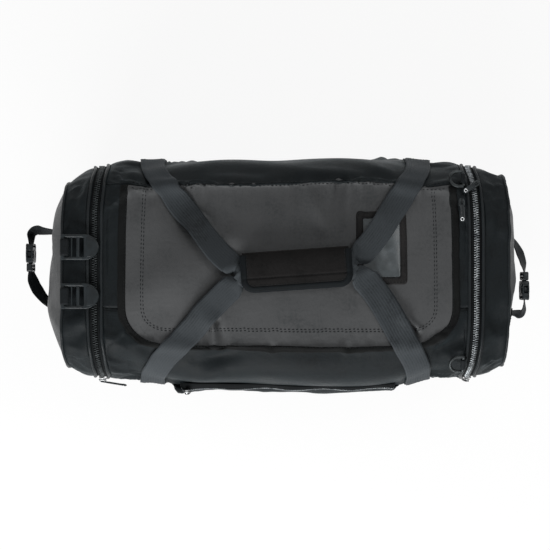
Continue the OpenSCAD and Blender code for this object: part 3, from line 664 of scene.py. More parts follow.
def moulding(outlines, thick, edge, to_place):
    """A moulded plate with rounded edges. The first outline is the rim, the others are openings."""
    curve = bpy.data.curves.new("moulding", "CURVE")
    curve.dimensions = "2D"
    curve.fill_mode = "BOTH"
    curve.extrude = thick / 2 - edge
    curve.bevel_depth = edge
    curve.bevel_resolution = 2
    curve.offset = -edge
    for k, outline in enumerate(outlines):
        outline = np.asarray(outline, float)
        x, y = outline[:, 0], outline[:, 1]
        turn = np.sum(x * np.roll(y, -1) - np.roll(x, -1) * y)
        if (turn > 0) != (k == 0):
            outline = outline[::-1]
        spline = curve.splines.new("POLY")
        spline.points.add(len(outline) - 1)
        flat = np.column_stack([outline, np.zeros(len(outline)), np.ones(len(outline))])
        spline.points.foreach_set("co", flat.ravel())
        spline.use_cyclic_u = True
    holder = bpy.data.objects.new("moulding", curve)
    scene.collection.objects.link(holder)
    mesh = bpy.data.meshes.new_from_object(holder.evaluated_get(bpy.context.evaluated_depsgraph_get()))
    verts = np.empty(len(mesh.vertices) * 3)
    mesh.vertices.foreach_get("co", verts)
    verts = verts.reshape(-1, 3)
    faces = [list(face.vertices) for face in mesh.polygons]
    bpy.data.objects.remove(holder)
    bpy.data.curves.remove(curve)
    bpy.data.meshes.remove(mesh)
    return to_place(verts), faces, verts[:, :2]


def arc(cx, cy, r, turn):
    return [(cx + r * math.cos(a), cy + r * math.sin(a)) for a in turn]


def rounded(x0, y0, x1, y1, r, steps=6):
    """Outline of a rectangle with round corners, as plan points."""
    points = []
    middles = (x1 - r, y1 - r), (x0 + r, y1 - r), (x0 + r, y0 + r), (x1 - r, y0 + r)
    for quarter, (cx, cy) in enumerate(middles):
        turn = np.radians(np.linspace(quarter * 90, quarter * 90 + 90, steps))
        points += arc(cx, cy, r, turn)
    return points


def rounded_mm(x0, y0, x1, y1, r):
    """The same outline from sizes in millimetres."""
    return rounded(x0 * MM, y0 * MM, x1 * MM, y1 * MM, r * MM)


def resampled(points, count):
    """Plan points spread evenly along a line of plan points."""
    run = run_length(points)
    share = np.linspace(0, run[-1], count)
    return np.column_stack([np.interp(share, run, points[:, 0]), np.interp(share, run, points[:, 1])])


def disc(cx, cy, r, steps=24):
    a = np.linspace(0, 2 * np.pi, steps, endpoint=False)
    return np.column_stack([cx + r * np.cos(a), cy + r * np.sin(a)])


def placed(origin, x_way, y_way):
    """A function that carries local points to a place with given X and Y ways."""
    x_way = unit(np.asarray(x_way, float))
    z_way = unit(np.cross(x_way, np.asarray(y_way, float)))
    y_way = np.cross(z_way, x_way)
    turn = np.stack([x_way, y_way, z_way])
    return lambda points: np.asarray(points, float) @ turn + np.asarray(origin, float)


def raised(place, height):
    """The same place, for points moved up by a height in millimetres."""
    return lambda points: place(points + UP * (height * MM))


# Materials

def linear(code):
    """A hex sRGB colour as a linear colour."""
    parts = [int(code[k:k + 2], 16) / 255 for k in (1, 3, 5)]
    return [p / 12.92 if p <= 0.04045 else ((p + 0.055) / 1.055) ** 2.4 for p in parts] + [1.0]


def add(tree, kind, settings=None, links=None):
    """Adds one shader node with its settings and incoming links."""
    node = tree.nodes.new("ShaderNode" + kind)
    for key, value in (settings or {}).items():
        if isinstance(key, int) or key in node.inputs:
            node.inputs[key].default_value = value
        else:
            setattr(node, key, value)
    for key, source in (links or {}).items():
        tree.links.new(source, node.inputs[key])
    return node


def blank(name):
    material = bpy.data.materials.new(name)
    material.use_nodes = True
    material.node_tree.nodes.clear()
    return material, material.node_tree


def ramp(tree, source, low, high, start=0.3, end=0.7):
    """Colours between two hex codes, driven by a grey value."""
    node = add(tree, "ValToRGB", links={"Fac": source})
    node.color_ramp.elements[0].position = start
    node.color_ramp.elements[1].position = end
    node.color_ramp.elements[0].color = linear(low)
    node.color_ramp.elements[1].color = linear(high)
    return node


def noise(tree, place, seed, size, detail, **more):
    """Seeded noise with lumps of about the given size."""
    settings = {"noise_dimensions": "4D", "W": seed, "Scale": 1 / size, "Detail": detail, **more}
    return add(tree, "TexNoise", settings, {"Vector": place}).outputs["Fac"]


def bands(tree, place, direction, pitch):
    """Threads side by side. The Wave node repeats every 0.314 / scale of its coordinate."""
    settings = {"Scale": 0.314 / pitch, "bands_direction": direction, "Distortion": 0.6, "Detail Scale": 2.0}
    return add(tree, "TexWave", settings, {"Vector": place}).outputs["Fac"]


def carried(tree, value, start, end, low, high):
    """A grey value between start and end, carried to low and high."""
    settings = {"From Min": start, "From Max": end, "To Min": low, "To Max": high}
    return add(tree, "MapRange", settings, {"Value": value}).outputs["Result"]


def surface(tree, settings, colour, gloss, bump):
    """The closing shader: colour, roughness and relief as made before, the rest as set."""
    links = {"Base Color": colour.outputs["Color"], "Roughness": gloss, "Normal": bump.outputs["Normal"]}
    shader = add(tree, "BsdfPrincipled", settings, links)
    add(tree, "OutputMaterial", links={"Surface": shader.outputs["BSDF"]})


def cloth(name, dark, light, warp, weft, weave, crinkle, rough, sheen, tint, seed, shine=0.3):
    """Woven cloth: two crossed thread directions, patchy dye, fine crinkles and a sheen of loose fibre.

    Warp and weft are the pitches of the threads. Weave and crinkle are heights of relief in metres.
    """
    material, tree = blank(name)
    place = add(tree, "TexCoord")
    uv = place.outputs["UV"]
    solid = place.outputs["Object"]
    warp_threads = bands(tree, uv, "X", warp)
    weft_threads = bands(tree, uv, "Y", weft)
    threads = add(tree, "Math", {"operation": "MAXIMUM"}, {0: warp_threads, 1: weft_threads}).outputs[0]
    dye = noise(tree, solid, seed, 0.045, 4.0)
    fine = noise(tree, solid, seed + 1, 0.0035, 3.0)
    shade = add(tree, "Math", {"operation": "MULTIPLY_ADD", 1: 0.35}, {0: threads, 2: dye}).outputs[0]
    shade = add(tree, "Math", {"operation": "MULTIPLY_ADD", 1: 0.5}, {0: fine, 2: shade}).outputs[0]
    colour = ramp(tree, shade, dark, light, 0.7, 1.3)
    gloss = carried(tree, dye, 0.3, 0.7, rough - 0.07, rough + 0.09)
    creases = noise(tree, solid, seed + 2, 0.016, 5.0, Roughness=0.55, Distortion=0.8)
    soft = add(tree, "Bump", {"Strength": 1.0, "Distance": crinkle}, {"Height": creases})
    woven = add(tree, "Bump", {"Strength": 0.8, "Distance": weave},
                {"Height": threads, "Normal": soft.outputs["Normal"]})
    settings = {"Sheen Weight": sheen, "Sheen Roughness": 0.4, "Sheen Tint": linear(tint)}
    surface(tree, {**settings, "Specular IOR Level": shine}, colour, gloss, woven)
    return material


def moulded_plastic(name, dark, light, rough, grain, seed, shine):
    """Injection-moulded plastic: spark-eroded grain, slight flow shading and duller rubbed places."""
    material, tree = blank(name)
    solid = add(tree, "TexCoord").outputs["Object"]
    pits = noise(tree, solid, seed, grain, 2.0)
    flow = noise(tree, solid, seed + 1, 0.012, 3.0)
    colour = ramp(tree, flow, dark, light)
    gloss = carried(tree, flow, 0.35, 0.65, rough, rough + 0.14)
    bump = add(tree, "Bump", {"Strength": 0.5, "Distance": 0.00012}, {"Height": pits})
    surface(tree, {"IOR": 1.48, "Specular IOR Level": shine}, colour, gloss, bump)
    return material


def bare_metal(name, dark, light, rough, seed):
    """Plated or cast metal: cloudy polish and hairline rubs from use."""
    material, tree = blank(name)
    solid = add(tree, "TexCoord").outputs["Object"]
    cloud = noise(tree, solid, seed, 0.006, 4.0)
    rub = noise(tree, solid, seed + 1, 0.0012, 2.0, Distortion=1.5)
    colour = ramp(tree, cloud, dark, light)
    gloss = carried(tree, rub, 0.3, 0.7, rough, rough + 0.2)
    bump = add(tree, "Bump", {"Strength": 0.3, "Distance": 0.0001}, {"Height": rub})
    surface(tree, {"Metallic": 1.0}, colour, gloss, bump)
    return material


# Nylon packcloth, woven and coated inside: near black with a cold cast, and it crinkles finely.
# Its threads are 0.5 mm apart. They are drawn 1.4 mm apart, so that the weave shows.
packcloth = cloth("nylon packcloth", "#0c0e0f", "#181c1e", 1.4 * MM, 1.4 * MM, 0.00016, 0.0008, 0.47, 0.16,
                  "#9fb4bb", 3.0, 0.07)
# Vinyl-coated polyester: a grey skin over a coarse base weave, which prints through as a fine grid.
tarpaulin = cloth("vinyl-coated polyester", "#393b3c", "#4b4c4d", 1.8 * MM, 1.8 * MM, 0.00016, 0.0008,
                  0.42, 0.03, "#c8cccd", 14.0, 0.09)
# Polypropylene webbing: flat dark grey yarns in a tight twill, smooth at a distance.
webbing_yarn = cloth("polypropylene webbing", "#25282a", "#383c3f", 1.3 * MM, 1.9 * MM, 0.00022, 0.0004,
                     0.52, 0.08, "#aab2b6", 25.0, 0.06)
# Black webbing of the same make, for handles and loops.
black_webbing = cloth("black polypropylene webbing", "#0d0f10", "#1a1d1f", 1.3 * MM, 1.9 * MM, 0.00022,
                      0.0004, 0.52, 0.08, "#aab2b6", 27.0, 0.06)
# Velour: short brushed pile, neutral black, matt, paler where it is seen along the pile.
velour = cloth("brushed velour", "#161616", "#222121", 1.1 * MM, 1.1 * MM, 0.00018, 0.0016, 0.88, 0.22,
               "#7c7672", 36.0, 0.03)
# Grosgrain tape: fine ribs across the band, black with a blue cast.
grosgrain = cloth("grosgrain tape", "#0a0c0d", "#141719", 1.3 * MM, 6.0 * MM, 0.00018, 0.0003, 0.62, 0.02,
                  "#9aa7b0", 47.0, 0.05)
# Matt binding tape of spun polyester: flat neutral black, almost no gloss.
binding_tape = cloth("spun polyester binding", "#0d0d0e", "#191a1a", 1.2 * MM, 1.2 * MM, 0.0002, 0.0004,
                     0.72, 0.06, "#9a9a9a", 52.0, 0.04)
# Border tape of the card pocket: coarse black weave with open pores.
border_tape = cloth("open-weave border tape", "#191919", "#2b2a2a", 2.0 * MM, 2.0 * MM, 0.00045, 0.0003,
                    0.7, 0.08, "#a09890", 55.0, 0.04)
# Woven zip tape: polyester twill, matt black.
zip_tape = cloth("polyester zip tape", "#0c0d0e", "#151718", 1.2 * MM, 1.2 * MM, 0.0002, 0.0002, 0.65, 0.06,
                 "#9aa0a3", 58.0, 0.04)
# Piping cord covered with coated cloth: smooth, with soft highlights along the roll.
piping_cover = cloth("vinyl piping cover", "#101214", "#1c2022", 1.6 * MM, 1.6 * MM, 0.0001, 0.0006,
                     0.38, 0.03, "#aab4b8", 69.0, 0.12)
# Bonded nylon thread: slightly waxy black.
bonded_thread = cloth("bonded nylon thread", "#141617", "#202426", 0.6 * MM, 0.6 * MM, 0.0001, 0.0001,
                      0.42, 0.08, "#b4bcc0", 80.0, 0.08)
# Acetal: moulded fittings, a hard slightly greasy black with a fine grain.
acetal = moulded_plastic("moulded acetal", "#15191b", "#22282b", 0.28, 0.9 * MM, 91.0, 0.2)
# Polyethylene board inside the base: matt grey sheet.
board_sheet = moulded_plastic("polyethylene board", "#2a2c2d", "#383b3c", 0.55, 1.6 * MM, 95.0, 0.2)
# Clear vinyl over a grey card: the card is dull, and the vinyl over it mirrors the light with ripples.
vinyl_window = moulded_plastic("clear vinyl over card", "#34393b", "#474d50", 0.16, 14 * MM, 99.0, 0.3)
# Nickel plate on die-cast sliders and eyelets: bright, with hairline rubs.
nickel = bare_metal("nickel plate", "#8d8f90", "#c9cbcc", 0.22, 103.0)
# Black-lacquered die casting: dark, with the metal showing through at rubbed places.
# It is also put on the left zip's teeth as painted shade, in place of the gunmetal they share with the right
# zip.
lacquered = bare_metal("black-lacquered casting", "#1c1e1f", "#3a3d3e", 0.34, 105.0)
# Gunmetal zip teeth: lacquered metal that is rubbed bright on its crowns.
gunmetal = bare_metal("gunmetal zip teeth", "#34373a", "#8a8e90", 0.24, 107.0)


# Cloth panels

FABRIC = 2.2 * MM
# The lid lies this far above the panels, and cut edges stop this far short of a seam
SEAM = 0.2 * MM
SEAM_GAP = 0.4 * MM


def stitches(name, rows, body):
    return put(name, rows, body, bonded_thread)


def panel(x0, x1, start_angle, end_angle, nu, nv):
    """A panel of the skin between two lengths and two angles, which may change with the length."""
    x = np.linspace(x0, x1, nu)[:, None] + np.zeros((1, nv))
    t = np.linspace(0, 1, nv)[None]
    a = start_angle(x) * (1 - t) + end_angle(x) * t
    return sheet(skin(x, a), skin(x, a, -FABRIC))


def opening_front(x):
    """Front edge of the top opening: the lid's outline, with its round corners, and the gussets' seams."""
    left = np.clip(1 - (x - LID_LEFT) / LID_R, 0, 1)
    right = np.clip(1 - (LID_RIGHT - x) / LID_R, 0, 1)
    corner = np.maximum(left, right)
    y = LID_FRONT + LID_R * (1 - np.sqrt(np.maximum(1 - corner ** 2, 0)))
    return np.where((x < LID_LEFT) | (x > LID_RIGHT), LID_FRONT + LID_R, y)


def low_front(x):
    return np.pi + base_angle(x)


def low_back(x):
    return -base_angle(x)


def top_front(x):
    return top_angle(x, opening_front(x) - SEAM_GAP)


def level_edge(y):
    """The angle of an edge that keeps its place across the bag."""
    return lambda x: top_angle(x, y + 0 * x)


top_back = level_edge(HINGE_Y + SEAM_GAP)
gusset_back = level_edge(HINGE_Y - SEAM_GAP)
gusset_front = level_edge(LID_FRONT + LID_R + SEAM_GAP)


for name, *cut in (
        ("front_panel", -PANEL_X, PANEL_X, top_front, low_front, 150, 92),
        ("back_panel", -PANEL_X, PANEL_X, low_back, top_back, 150, 84),
        ("left_top_gusset", -PANEL_X, LID_LEFT - 1 * MM, gusset_back, gusset_front, 14, 64),
        ("right_top_gusset", LID_RIGHT + 1 * MM, PANEL_X, gusset_back, gusset_front, 14, 64)):
    put(name + "_cloth", [panel(*cut)], "bag", packcloth, [name])


# Lid: a grey coated panel that hinges on its back seam, with rounded front corners

def lid_span(y):
    """Left and right edges of the lid at a place in its depth."""
    down = np.clip(1 - (y - LID_FRONT) / LID_R, 0, 1)
    inward = LID_R * (1 - np.sqrt(np.maximum(1 - down ** 2, 0)))
    return LID_LEFT + inward, LID_RIGHT - inward


def lid_grid(nu, nv):
    t = np.linspace(0, 1, nv)
    y = LID_FRONT + (HINGE_Y - SEAM_GAP - LID_FRONT) * t ** 1.25
    left, right = lid_span(y)
    x = left[None] + (right - left)[None] * np.linspace(0, 1, nu)[:, None]
    return x, y[None] + 0 * x


lid_x, lid_y = lid_grid(150, 88)
lid_sheet = sheet(skin_top(lid_x, lid_y, SEAM), skin_top(lid_x, lid_y, SEAM - FABRIC))
lid_panel = put("lid_panel_cloth", [lid_sheet], None, tarpaulin, ["lid_panel"])
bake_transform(lid_panel)


def lid_line(inset, step=3.0 * MM, back=0.0):
    """Plan points along the lid's left, front and right edges, inset from them, and the outward way."""
    r = max(LID_R - inset, 0.004)
    left, right = LID_LEFT + inset, LID_RIGHT - inset
    front = LID_FRONT + inset
    top = HINGE_Y - back
    steps = int(r * 1.57 / step) + 2
    points = [(left, y) for y in np.arange(top, front + r, -step)]
    points += arc(left + r, front + r, r, np.linspace(np.pi, 1.5 * np.pi, steps))
    points += [(x, front) for x in np.arange(left + r + step, right - r, step)]
    points += arc(right - r, front + r, r, np.linspace(1.5 * np.pi, 2 * np.pi, steps))
    points += [(right, y) for y in np.arange(front + r + step, top, step)]
    points = np.array(points)
    way = unit(np.gradient(points, axis=0))
    return points, np.column_stack([way[:, 1], -way[:, 0]])


def on_top(points, lift):
    return skin_top(points[:, 0], points[:, 1], lift)


def under_top(points, depth):
    """Places straight below the top, which keep their order where the folds are steep."""
    place = on_top(points, 0.0)
    place[:, 2] -= depth
    return place


def top_normals(points):
    return skin_normal(points[:, 0], top_angle(points[:, 0], points[:, 1]))


# Binding over the lid's edge: a folded tape with a soft arch, sewn near its inner edge
edge_line, edge_out = lid_line(0.0, 2.4 * MM, 1.2 * MM)
arch = np.linspace(-3 * MM, 9 * MM, 8)
spread = [edge_line + edge_out * d for d in arch]
shape = [0.2, 0.9, 1.0, 0.95, 0.95, 1.0, 0.9, 0.2]
upper = np.stack([on_top(p, (0.5 + 1.2 * h) * MM) for p, h in zip(spread, shape)], axis=1)
lower = np.stack([on_top(p, 0.3 * MM) for p in spread], axis=1)
put("lid_binding_tape", [sheet(upper[:, ::-1], lower[:, ::-1])], "lid", binding_tape, ["lid_binding"])


def top_row(points, lift, *stitch):
    """A row of stitches on the top along plan points."""
    return thread(on_top(points, lift), top_normals(points), *stitch)


# Length, pitch and radius of the fine stitches in bindings
FINE = 3.2 * MM, 4.6 * MM, 0.4 * MM
rows = [top_row(lid_line(inset * MM, 3 * MM, 6 * MM)[0], 0.5 * MM) for inset in (26, 29.5)]
rows.append(top_row(lid_line(1.5 * MM, 3 * MM, 3 * MM)[0], 1.8 * MM, *FINE))
stitches("lid_stitching", rows, "lid")
line = np.full((160, 2), HINGE_Y - 5 * MM)
line[:, 0] = np.linspace(LID_LEFT + 8 * MM, LID_RIGHT - 8 * MM, 160)
bent_row = stitches("lid_hinge_stitching", [top_row(line, 0.6 * MM)], None)
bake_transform(bent_row)
line[:, 1] = HINGE_Y + 4.5 * MM
stitches("hinge_stitching", [top_row(line, 0.5 * MM)], "bag")

# Card pocket on the lid: a bound frame with a window of clear vinyl
CARD_X, CARD_Y, CARD_L, CARD_W, CARD_EDGE = 0.140, 0.034, 0.072, 0.104, 0.010


def card_ring(inset):
    """Plan points round the card pocket, inset from its rim."""
    l, w, r = CARD_L / 2 - inset, CARD_W / 2 - inset, max(5 * MM - inset * 0.4, 1 * MM)
    corner = np.array(rounded(-l, -w, l, w, r, 5))
    return resampled(np.vstack([corner, corner[:1]]), 97) + [CARD_X, CARD_Y]


card_steps = np.linspace(0, CARD_EDGE, 6)
card_rise = [0.7, 1.3, 1.5, 1.5, 1.4, 1.0]
upper = np.stack([on_top(card_ring(d), h * MM) for d, h in zip(card_steps, card_rise)], axis=1)
lower = np.stack([on_top(card_ring(d), 0.3 * MM) for d in card_steps], axis=1)
put("card_pocket_border", [sheet(upper, lower)], "lid", border_tape, ["card_pocket_frame"])
cx = CARD_X + np.linspace(-0.5, 0.5, 26)[:, None] * (CARD_L - 2 * CARD_EDGE + 2 * MM) + np.zeros((1, 38))
cy = CARD_Y + np.linspace(-0.5, 0.5, 38)[None] * (CARD_W - 2 * CARD_EDGE + 2 * MM) + np.zeros((26, 1))
ripple = 0.5 * np.sin(cx * 190 + cy * 60) + 0.4 * np.sin(cy * 150 - cx * 90 + 1)
dome = np.outer(np.sin(np.linspace(0, np.pi, 26)), np.sin(np.linspace(0, np.pi, 38))) ** 0.5
bulge = (0.75 + dome * (1.0 + 0.5 * ripple)) * MM
window = sheet(skin_top(cx, cy, bulge)[:, ::-1], skin_top(cx, cy, 0.35 * MM)[:, ::-1])
put("card_window_vinyl", [window], "lid", vinyl_window, ["card_window"])
stitches("card_stitching", [top_row(card_ring(d * MM), 1.6 * MM, *FINE) for d in (2, 8.5)], "lid")


# End compartments: a gusset of the skin and a crowned face, closed along the base

FACE_MIDDLE_Z = 0.165


def fan(rim, x, steps):
    """Rings from the middle of an end out to its rim, and the share of the way of each."""
    middle = np.array([x, 0, FACE_MIDDLE_Z])
    r = np.linspace(0.002, 1, steps)[:, None]
    return middle + (rim - middle)[None] * r[..., None], r


def round_angles(x, count, spare=0.0):
    """Angles round the bag's open section at a length, from the back edge of the base to the front."""
    return np.linspace(low_back(np.array(x)) + spare, low_front(np.array(x)) - spare, count)


def bulge_face(side, bulge):
    """The crowned end face: rings from its middle out to the seam with the gusset."""
    x = side * END_X
    rim = skin(np.full(150, x), round_angles(x, 150))
    floor_y = np.linspace(rim[-1, 1], rim[0, 1], 60)[1:-1]
    floor = np.column_stack([np.full(58, x), floor_y, np.full(58, rim[0, 2])])
    rim = np.vstack([rim, floor, rim[:1]])
    points, r = fan(rim, x, 44)
    spread = wave_noise(points, 0.11, 21 + int(side)) * 0.0035 * np.sin(np.pi * r) ** 0.7
    crease = wave_noise(points * [1, 1, 0.35], 0.05, 33 + int(side)) * 0.0016 * np.sin(np.pi * r)
    if side > 0:
        bulge = bulge * (1 - 0.8 * smooth((points[..., 2] - 0.225) / 0.06))
    points[..., 0] += side * (bulge * (1 - r ** 3) + spread + crease)
    return points


end_faces = {}
for side, name, bulge, body in ((-1, "left", 0.032, "left_end"), (1, "right", 0.022, "right_end")):
    x0, x1 = sorted((side * CAP_X, side * END_X))
    put(name + "_end_gusset_cloth", [panel(x0, x1, low_back, low_front, 15, 170)], body, packcloth,
        [name + "_end_gusset"])
    face = bulge_face(side, bulge)
    end_faces[name] = face.reshape(-1, 3)
    inner = face - np.array([side * FABRIC, 0, 0])
    grids = (face, inner) if side > 0 else (face[:, ::-1], inner[:, ::-1])
    put(name + "_end_face_cloth", [sheet(*grids, ring=True)], body, tarpaulin, [name + "_end_face"])
    ring = skin(np.full(190, side * (END_X - 0.8 * MM)), round_angles(END_X, 190, 0.04), 0.9 * MM)
    put(name + "_end_seam_piping", [tube(ring, 2.1 * MM)], body, piping_cover)
    # The sewn hinge: a strip from the base, round the joint's line, up the inside of the face
    foot_z = face[-1, 149, 2]
    px = np.array([0.3180, 0.3262, 0.3308, END_X - 1.0 * MM, END_X - FABRIC - 0.5 * MM])
    pz = np.array([BASE_T + 0.5 * MM, BASE_T + 0.5 * MM, 2.2 * MM, foot_z + 0.5 * MM, foot_z + 9 * MM])
    py = np.linspace(-1, 1, 60)[:, None] * np.array([0.112, 0.112, 0.116, 0.122, 0.122])
    strip = np.stack([side * px + 0 * py, py, pz + 0 * py], axis=-1)
    cover = strip + np.array([-side * 0.5 * MM, 0, 0.5 * MM])
    grids = (cover, strip) if side > 0 else (cover[::-1], strip[::-1])
    hinge = put(name + "_hinge_strip", [sheet(*grids)], None, packcloth)
    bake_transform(hinge)


# Webbing: strips sewn down the sides, and the free carry straps that meet in the wrap

WEB_T = 1.8 * MM
# The height at which a carry strap leaves the wall, and the slope of its sewn foot
FOOT_Z = 0.2563
FOOT_SLANT = 0.08


def foot_half(x):
    """How far from the bag's middle a strap leaves the wall: just inside the half width."""
    return 0.985 * float(half_width(np.array(x)))


def wall_angle(side, x, z):
    """Angle of a place on the front (-1) or back (1) wall."""
    a = side_angle(x, z)
    return np.pi - a if side < 0 else a


def side_strip(side, x, nv=60):
    """A strip of webbing on the side wall, from the base up to where the strap leaves."""
    foot = top_angle(np.array(x), np.array(foot_half(x)))
    low = -base_angle(np.array(x)) + 0.07
    a = np.linspace(low, foot - 0.06, nv)
    if side < 0:
        a = np.pi - a
    xs = np.full(nv, x)
    middle = section(xs, a)
    out = section(xs, a, -1 * MM) - middle
    return webbing(middle, out, STRAP_W, WEB_T, cling=np.ones(nv), lift=np.full(nv, 1.4 * MM), guide=middle)


def box_stitch(side, x, low_z, high_z):
    """The crossed box of stitches that anchors a strap to the side."""
    w = STRAP_W / 2 - 5 * MM
    t = np.linspace(0, 7, 140)
    pz = np.interp(t, np.arange(8), [low_z, low_z, high_z, high_z, low_z, high_z, high_z, low_z])
    across = np.interp(t, np.arange(8), [-w, w, w, -w, -w, w, -w, w])
    px = x + across + math.copysign(FOOT_SLANT, x) * (FOOT_Z - pz)
    a = wall_angle(side, px, pz)
    return thread(bed(px, a, 3.9 * MM), bed_normal(px, a), 3.4 * MM, 5 * MM)


for side, name in ((-1, "front"), (1, "back")):
    put(name + "_side_strips", [side_strip(side, -STRAP_X), side_strip(side, STRAP_X)], "bag", webbing_yarn,
        [name + "_side_webbing"])
    boxes = [box_stitch(side, x, 0.226, 0.250) for x in (-STRAP_X, STRAP_X)]
    stitches(name + "_side_stitching", boxes, "bag")


def turned(p, z):
    """A place in the wrap's own plan, carried to the bag."""
    x = WRAP_X + p[..., 0] * math.cos(WRAP_TURN) - p[..., 1] * math.sin(WRAP_TURN)
    y = WRAP_Y + p[..., 0] * math.sin(WRAP_TURN) + p[..., 1] * math.cos(WRAP_TURN)
    return np.stack([x, y, z + 0 * x], axis=-1)


LEG_TAIL = 12 * MM
FOOT_STEPS = 12
GRIP_STEPS = 14
# The webbing is gathered by this much of its width in the wrap
GATHER = 19 * MM


def strap_leg(side, way, grip_z, roll, lean, count=64):
    """One leg from the side to the wrap: points, normals, width, cup, cling, lift and guide.

    Its foot lies on the side strip, it leans a little on the way up, and it gathers as it enters
    the wrap.
    """
    t = np.linspace(0, 1, count) ** 1.3
    u = 1 - (1 - t) ** 1.6
    foot = np.array([way * STRAP_X, side * foot_half(STRAP_X)])
    bend = turned(np.array([way * (WRAP_L / 2 + LEG_TAIL + 0.030), side * 0.030]), 0)[:2]
    mouth = turned(np.array([way * (WRAP_L / 2 + LEG_TAIL - 8 * MM), side * 0.0105]), 0)[:2]
    u = u[:, None]
    plan = foot * (1 - u) ** 2 + 2 * bend * u * (1 - u) + mouth * u ** 2
    a = top_angle(plan[:, 0], plan[:, 1])
    normal = bed_normal(plan[:, 0], a)
    gather = smooth((t - 0.66) / 0.32)
    laid = (3.2 - 0.8 * smooth(t * 6)) * MM
    sway = smooth((t - 0.1) / 0.25) * (1 - smooth((t - 0.75) / 0.25))
    lift = laid + 5.0 * MM * gather + STRAP_W / 2 * abs(math.sin(lean)) * sway
    points = bed(plan[:, 0], a, lift)
    rise = t ** (1.2 if side < 0 else 4)
    points[:, 2] = points[:, 2] * (1 - rise) + grip_z * rise
    normal = unit(normal * (1 - t[:, None]) + UP * t[:, None])
    tilt = roll * gather * np.sin(np.pi * np.clip((t - 0.55) / 0.5, 0, 1)) + lean * sway
    tangent = unit(np.gradient(points, axis=0))
    normal = unit(normal * np.cos(tilt)[:, None] + np.cross(tangent, normal) * np.sin(tilt)[:, None])
    width = STRAP_W - GATHER * gather
    cup = -9.0 * MM * gather * (1 - 0.4 * smooth((t - 0.9) / 0.1))
    cling = 1 - smooth((t - (0.08 if abs(lean) > 0.05 else 0.55)) / 0.25)
    foot_z = np.linspace(0.218, 0.2535, FOOT_STEPS)
    foot_x = way * (STRAP_X + FOOT_SLANT * (FOOT_Z - foot_z))
    foot_a = wall_angle(side, foot_x, foot_z)
    flat = np.ones(FOOT_STEPS)
    sewn = (bed(foot_x, foot_a, 3.2 * MM), bed_normal(foot_x, foot_a), flat * STRAP_W, flat * 0, flat,
            flat * 3.2 * MM, section(foot_x, foot_a))
    free = points, normal, width, cup, cling, laid, section(plan[:, 0], a)
    return [np.concatenate(pair) for pair in zip(sewn, free)]


def carry_strap(side, grip_z, left_roll, right_roll, left_lean, right_lean):
    left = strap_leg(side, -1, grip_z, left_roll, left_lean)
    right = strap_leg(side, 1, grip_z, right_roll, right_lean)
    s = np.linspace(-0.96, 0.96, GRIP_STEPS)
    grip = turned(np.column_stack([s * WRAP_L / 2, np.full(GRIP_STEPS, side * 1 * MM)]), grip_z)
    flat = np.ones(GRIP_STEPS)
    held = (grip, flat[:, None] * UP, flat * (STRAP_W - GATHER), flat * -1.2 * MM, flat * 0, flat * 0, grip)
    rows = [np.concatenate([a, b, c[::-1]]) for a, b, c in zip(left, held, right)]
    points, normals, width, cup, cling, laid, guide = rows
    return webbing(points, normals, width, WEB_T, cup, 13, cling, laid, guide)


for side, name, grip_z, rolls in ((1, "back", 0.3434, (0.5, -0.7, -0.42, -0.2)),
                                  (-1, "front", 0.3464, (-0.35, 0.4, 0.12, 0.0))):
    strap = put(name + "_strap_webbing", [carry_strap(side, grip_z, *rolls)], None, webbing_yarn,
                [name + "_strap"])
    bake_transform(strap)


# Handle wrap: padded velour with a bound edge, folded along its back and closed over the straps

WRAP_BACK = WRAP_W / 2 - 1 * MM
FLAP_Z = 0.3472
FLAP_T = 3.6 * MM
FLAP_SEAM = -8 * MM


def wrap_outline(inset, count=120):
    """Left, front and right edges of the flap in its own plan, with round front corners."""
    l, w, r = WRAP_L / 2 - inset, WRAP_W / 2 - inset, max(WRAP_R - inset, 3 * MM)
    corner = [(-l, WRAP_BACK)]
    corner += arc(-l + r, -w + r, r, np.linspace(np.pi, 1.5 * np.pi, 12))
    corner += arc(l - r, -w + r, r, np.linspace(1.5 * np.pi, 2 * np.pi, 12))
    return resampled(np.array(corner + [(l, WRAP_BACK)]), count)


def flap_height(u, v):
    """Top of the padded flap over its plan: it arches over the straps and dips along its seam."""
    arch_v = 1 - np.abs(v / (WRAP_W / 2)) ** 2.6
    arch_u = 1 - np.abs(u / (WRAP_L / 2)) ** 10
    seam = np.exp(-((v - FLAP_SEAM) / (1.3 * MM)) ** 2)
    soft = 0.5 * np.sin(u * 75 + 1) + 0.4 * np.sin(u * 41 + v * 160)
    arch = 5.6 * arch_v * (0.35 + 0.65 * arch_u) + 0.7 * arch_u
    return FLAP_Z + (arch + 0.35 * soft * arch_v - 1.3 * seam) * MM


def wrap_grid(front, inset, nu, nv):
    """Plan of the flap or the base from its front edge to the fold, with round front corners."""
    v = np.linspace(front, WRAP_BACK, nv)
    down = np.clip(1 - (v - front) / WRAP_R, 0, 1)
    half = WRAP_L / 2 - inset - WRAP_R * (1 - np.sqrt(np.maximum(1 - down ** 2, 0.0)))
    u = np.linspace(-1, 1, nu)[:, None] * half[None]
    return np.stack([u, v[None] + 0 * u], axis=-1)


plan = wrap_grid(-WRAP_W / 2, 0.0, 90, 44)
crown = flap_height(plan[..., 0], plan[..., 1])
pad = sheet(turned(plan, crown)[:, ::-1], turned(plan, crown - FLAP_T)[:, ::-1])
flap = put("wrap_flap_pad", [pad], "wrap_flap", velour, ["wrap_flap"])

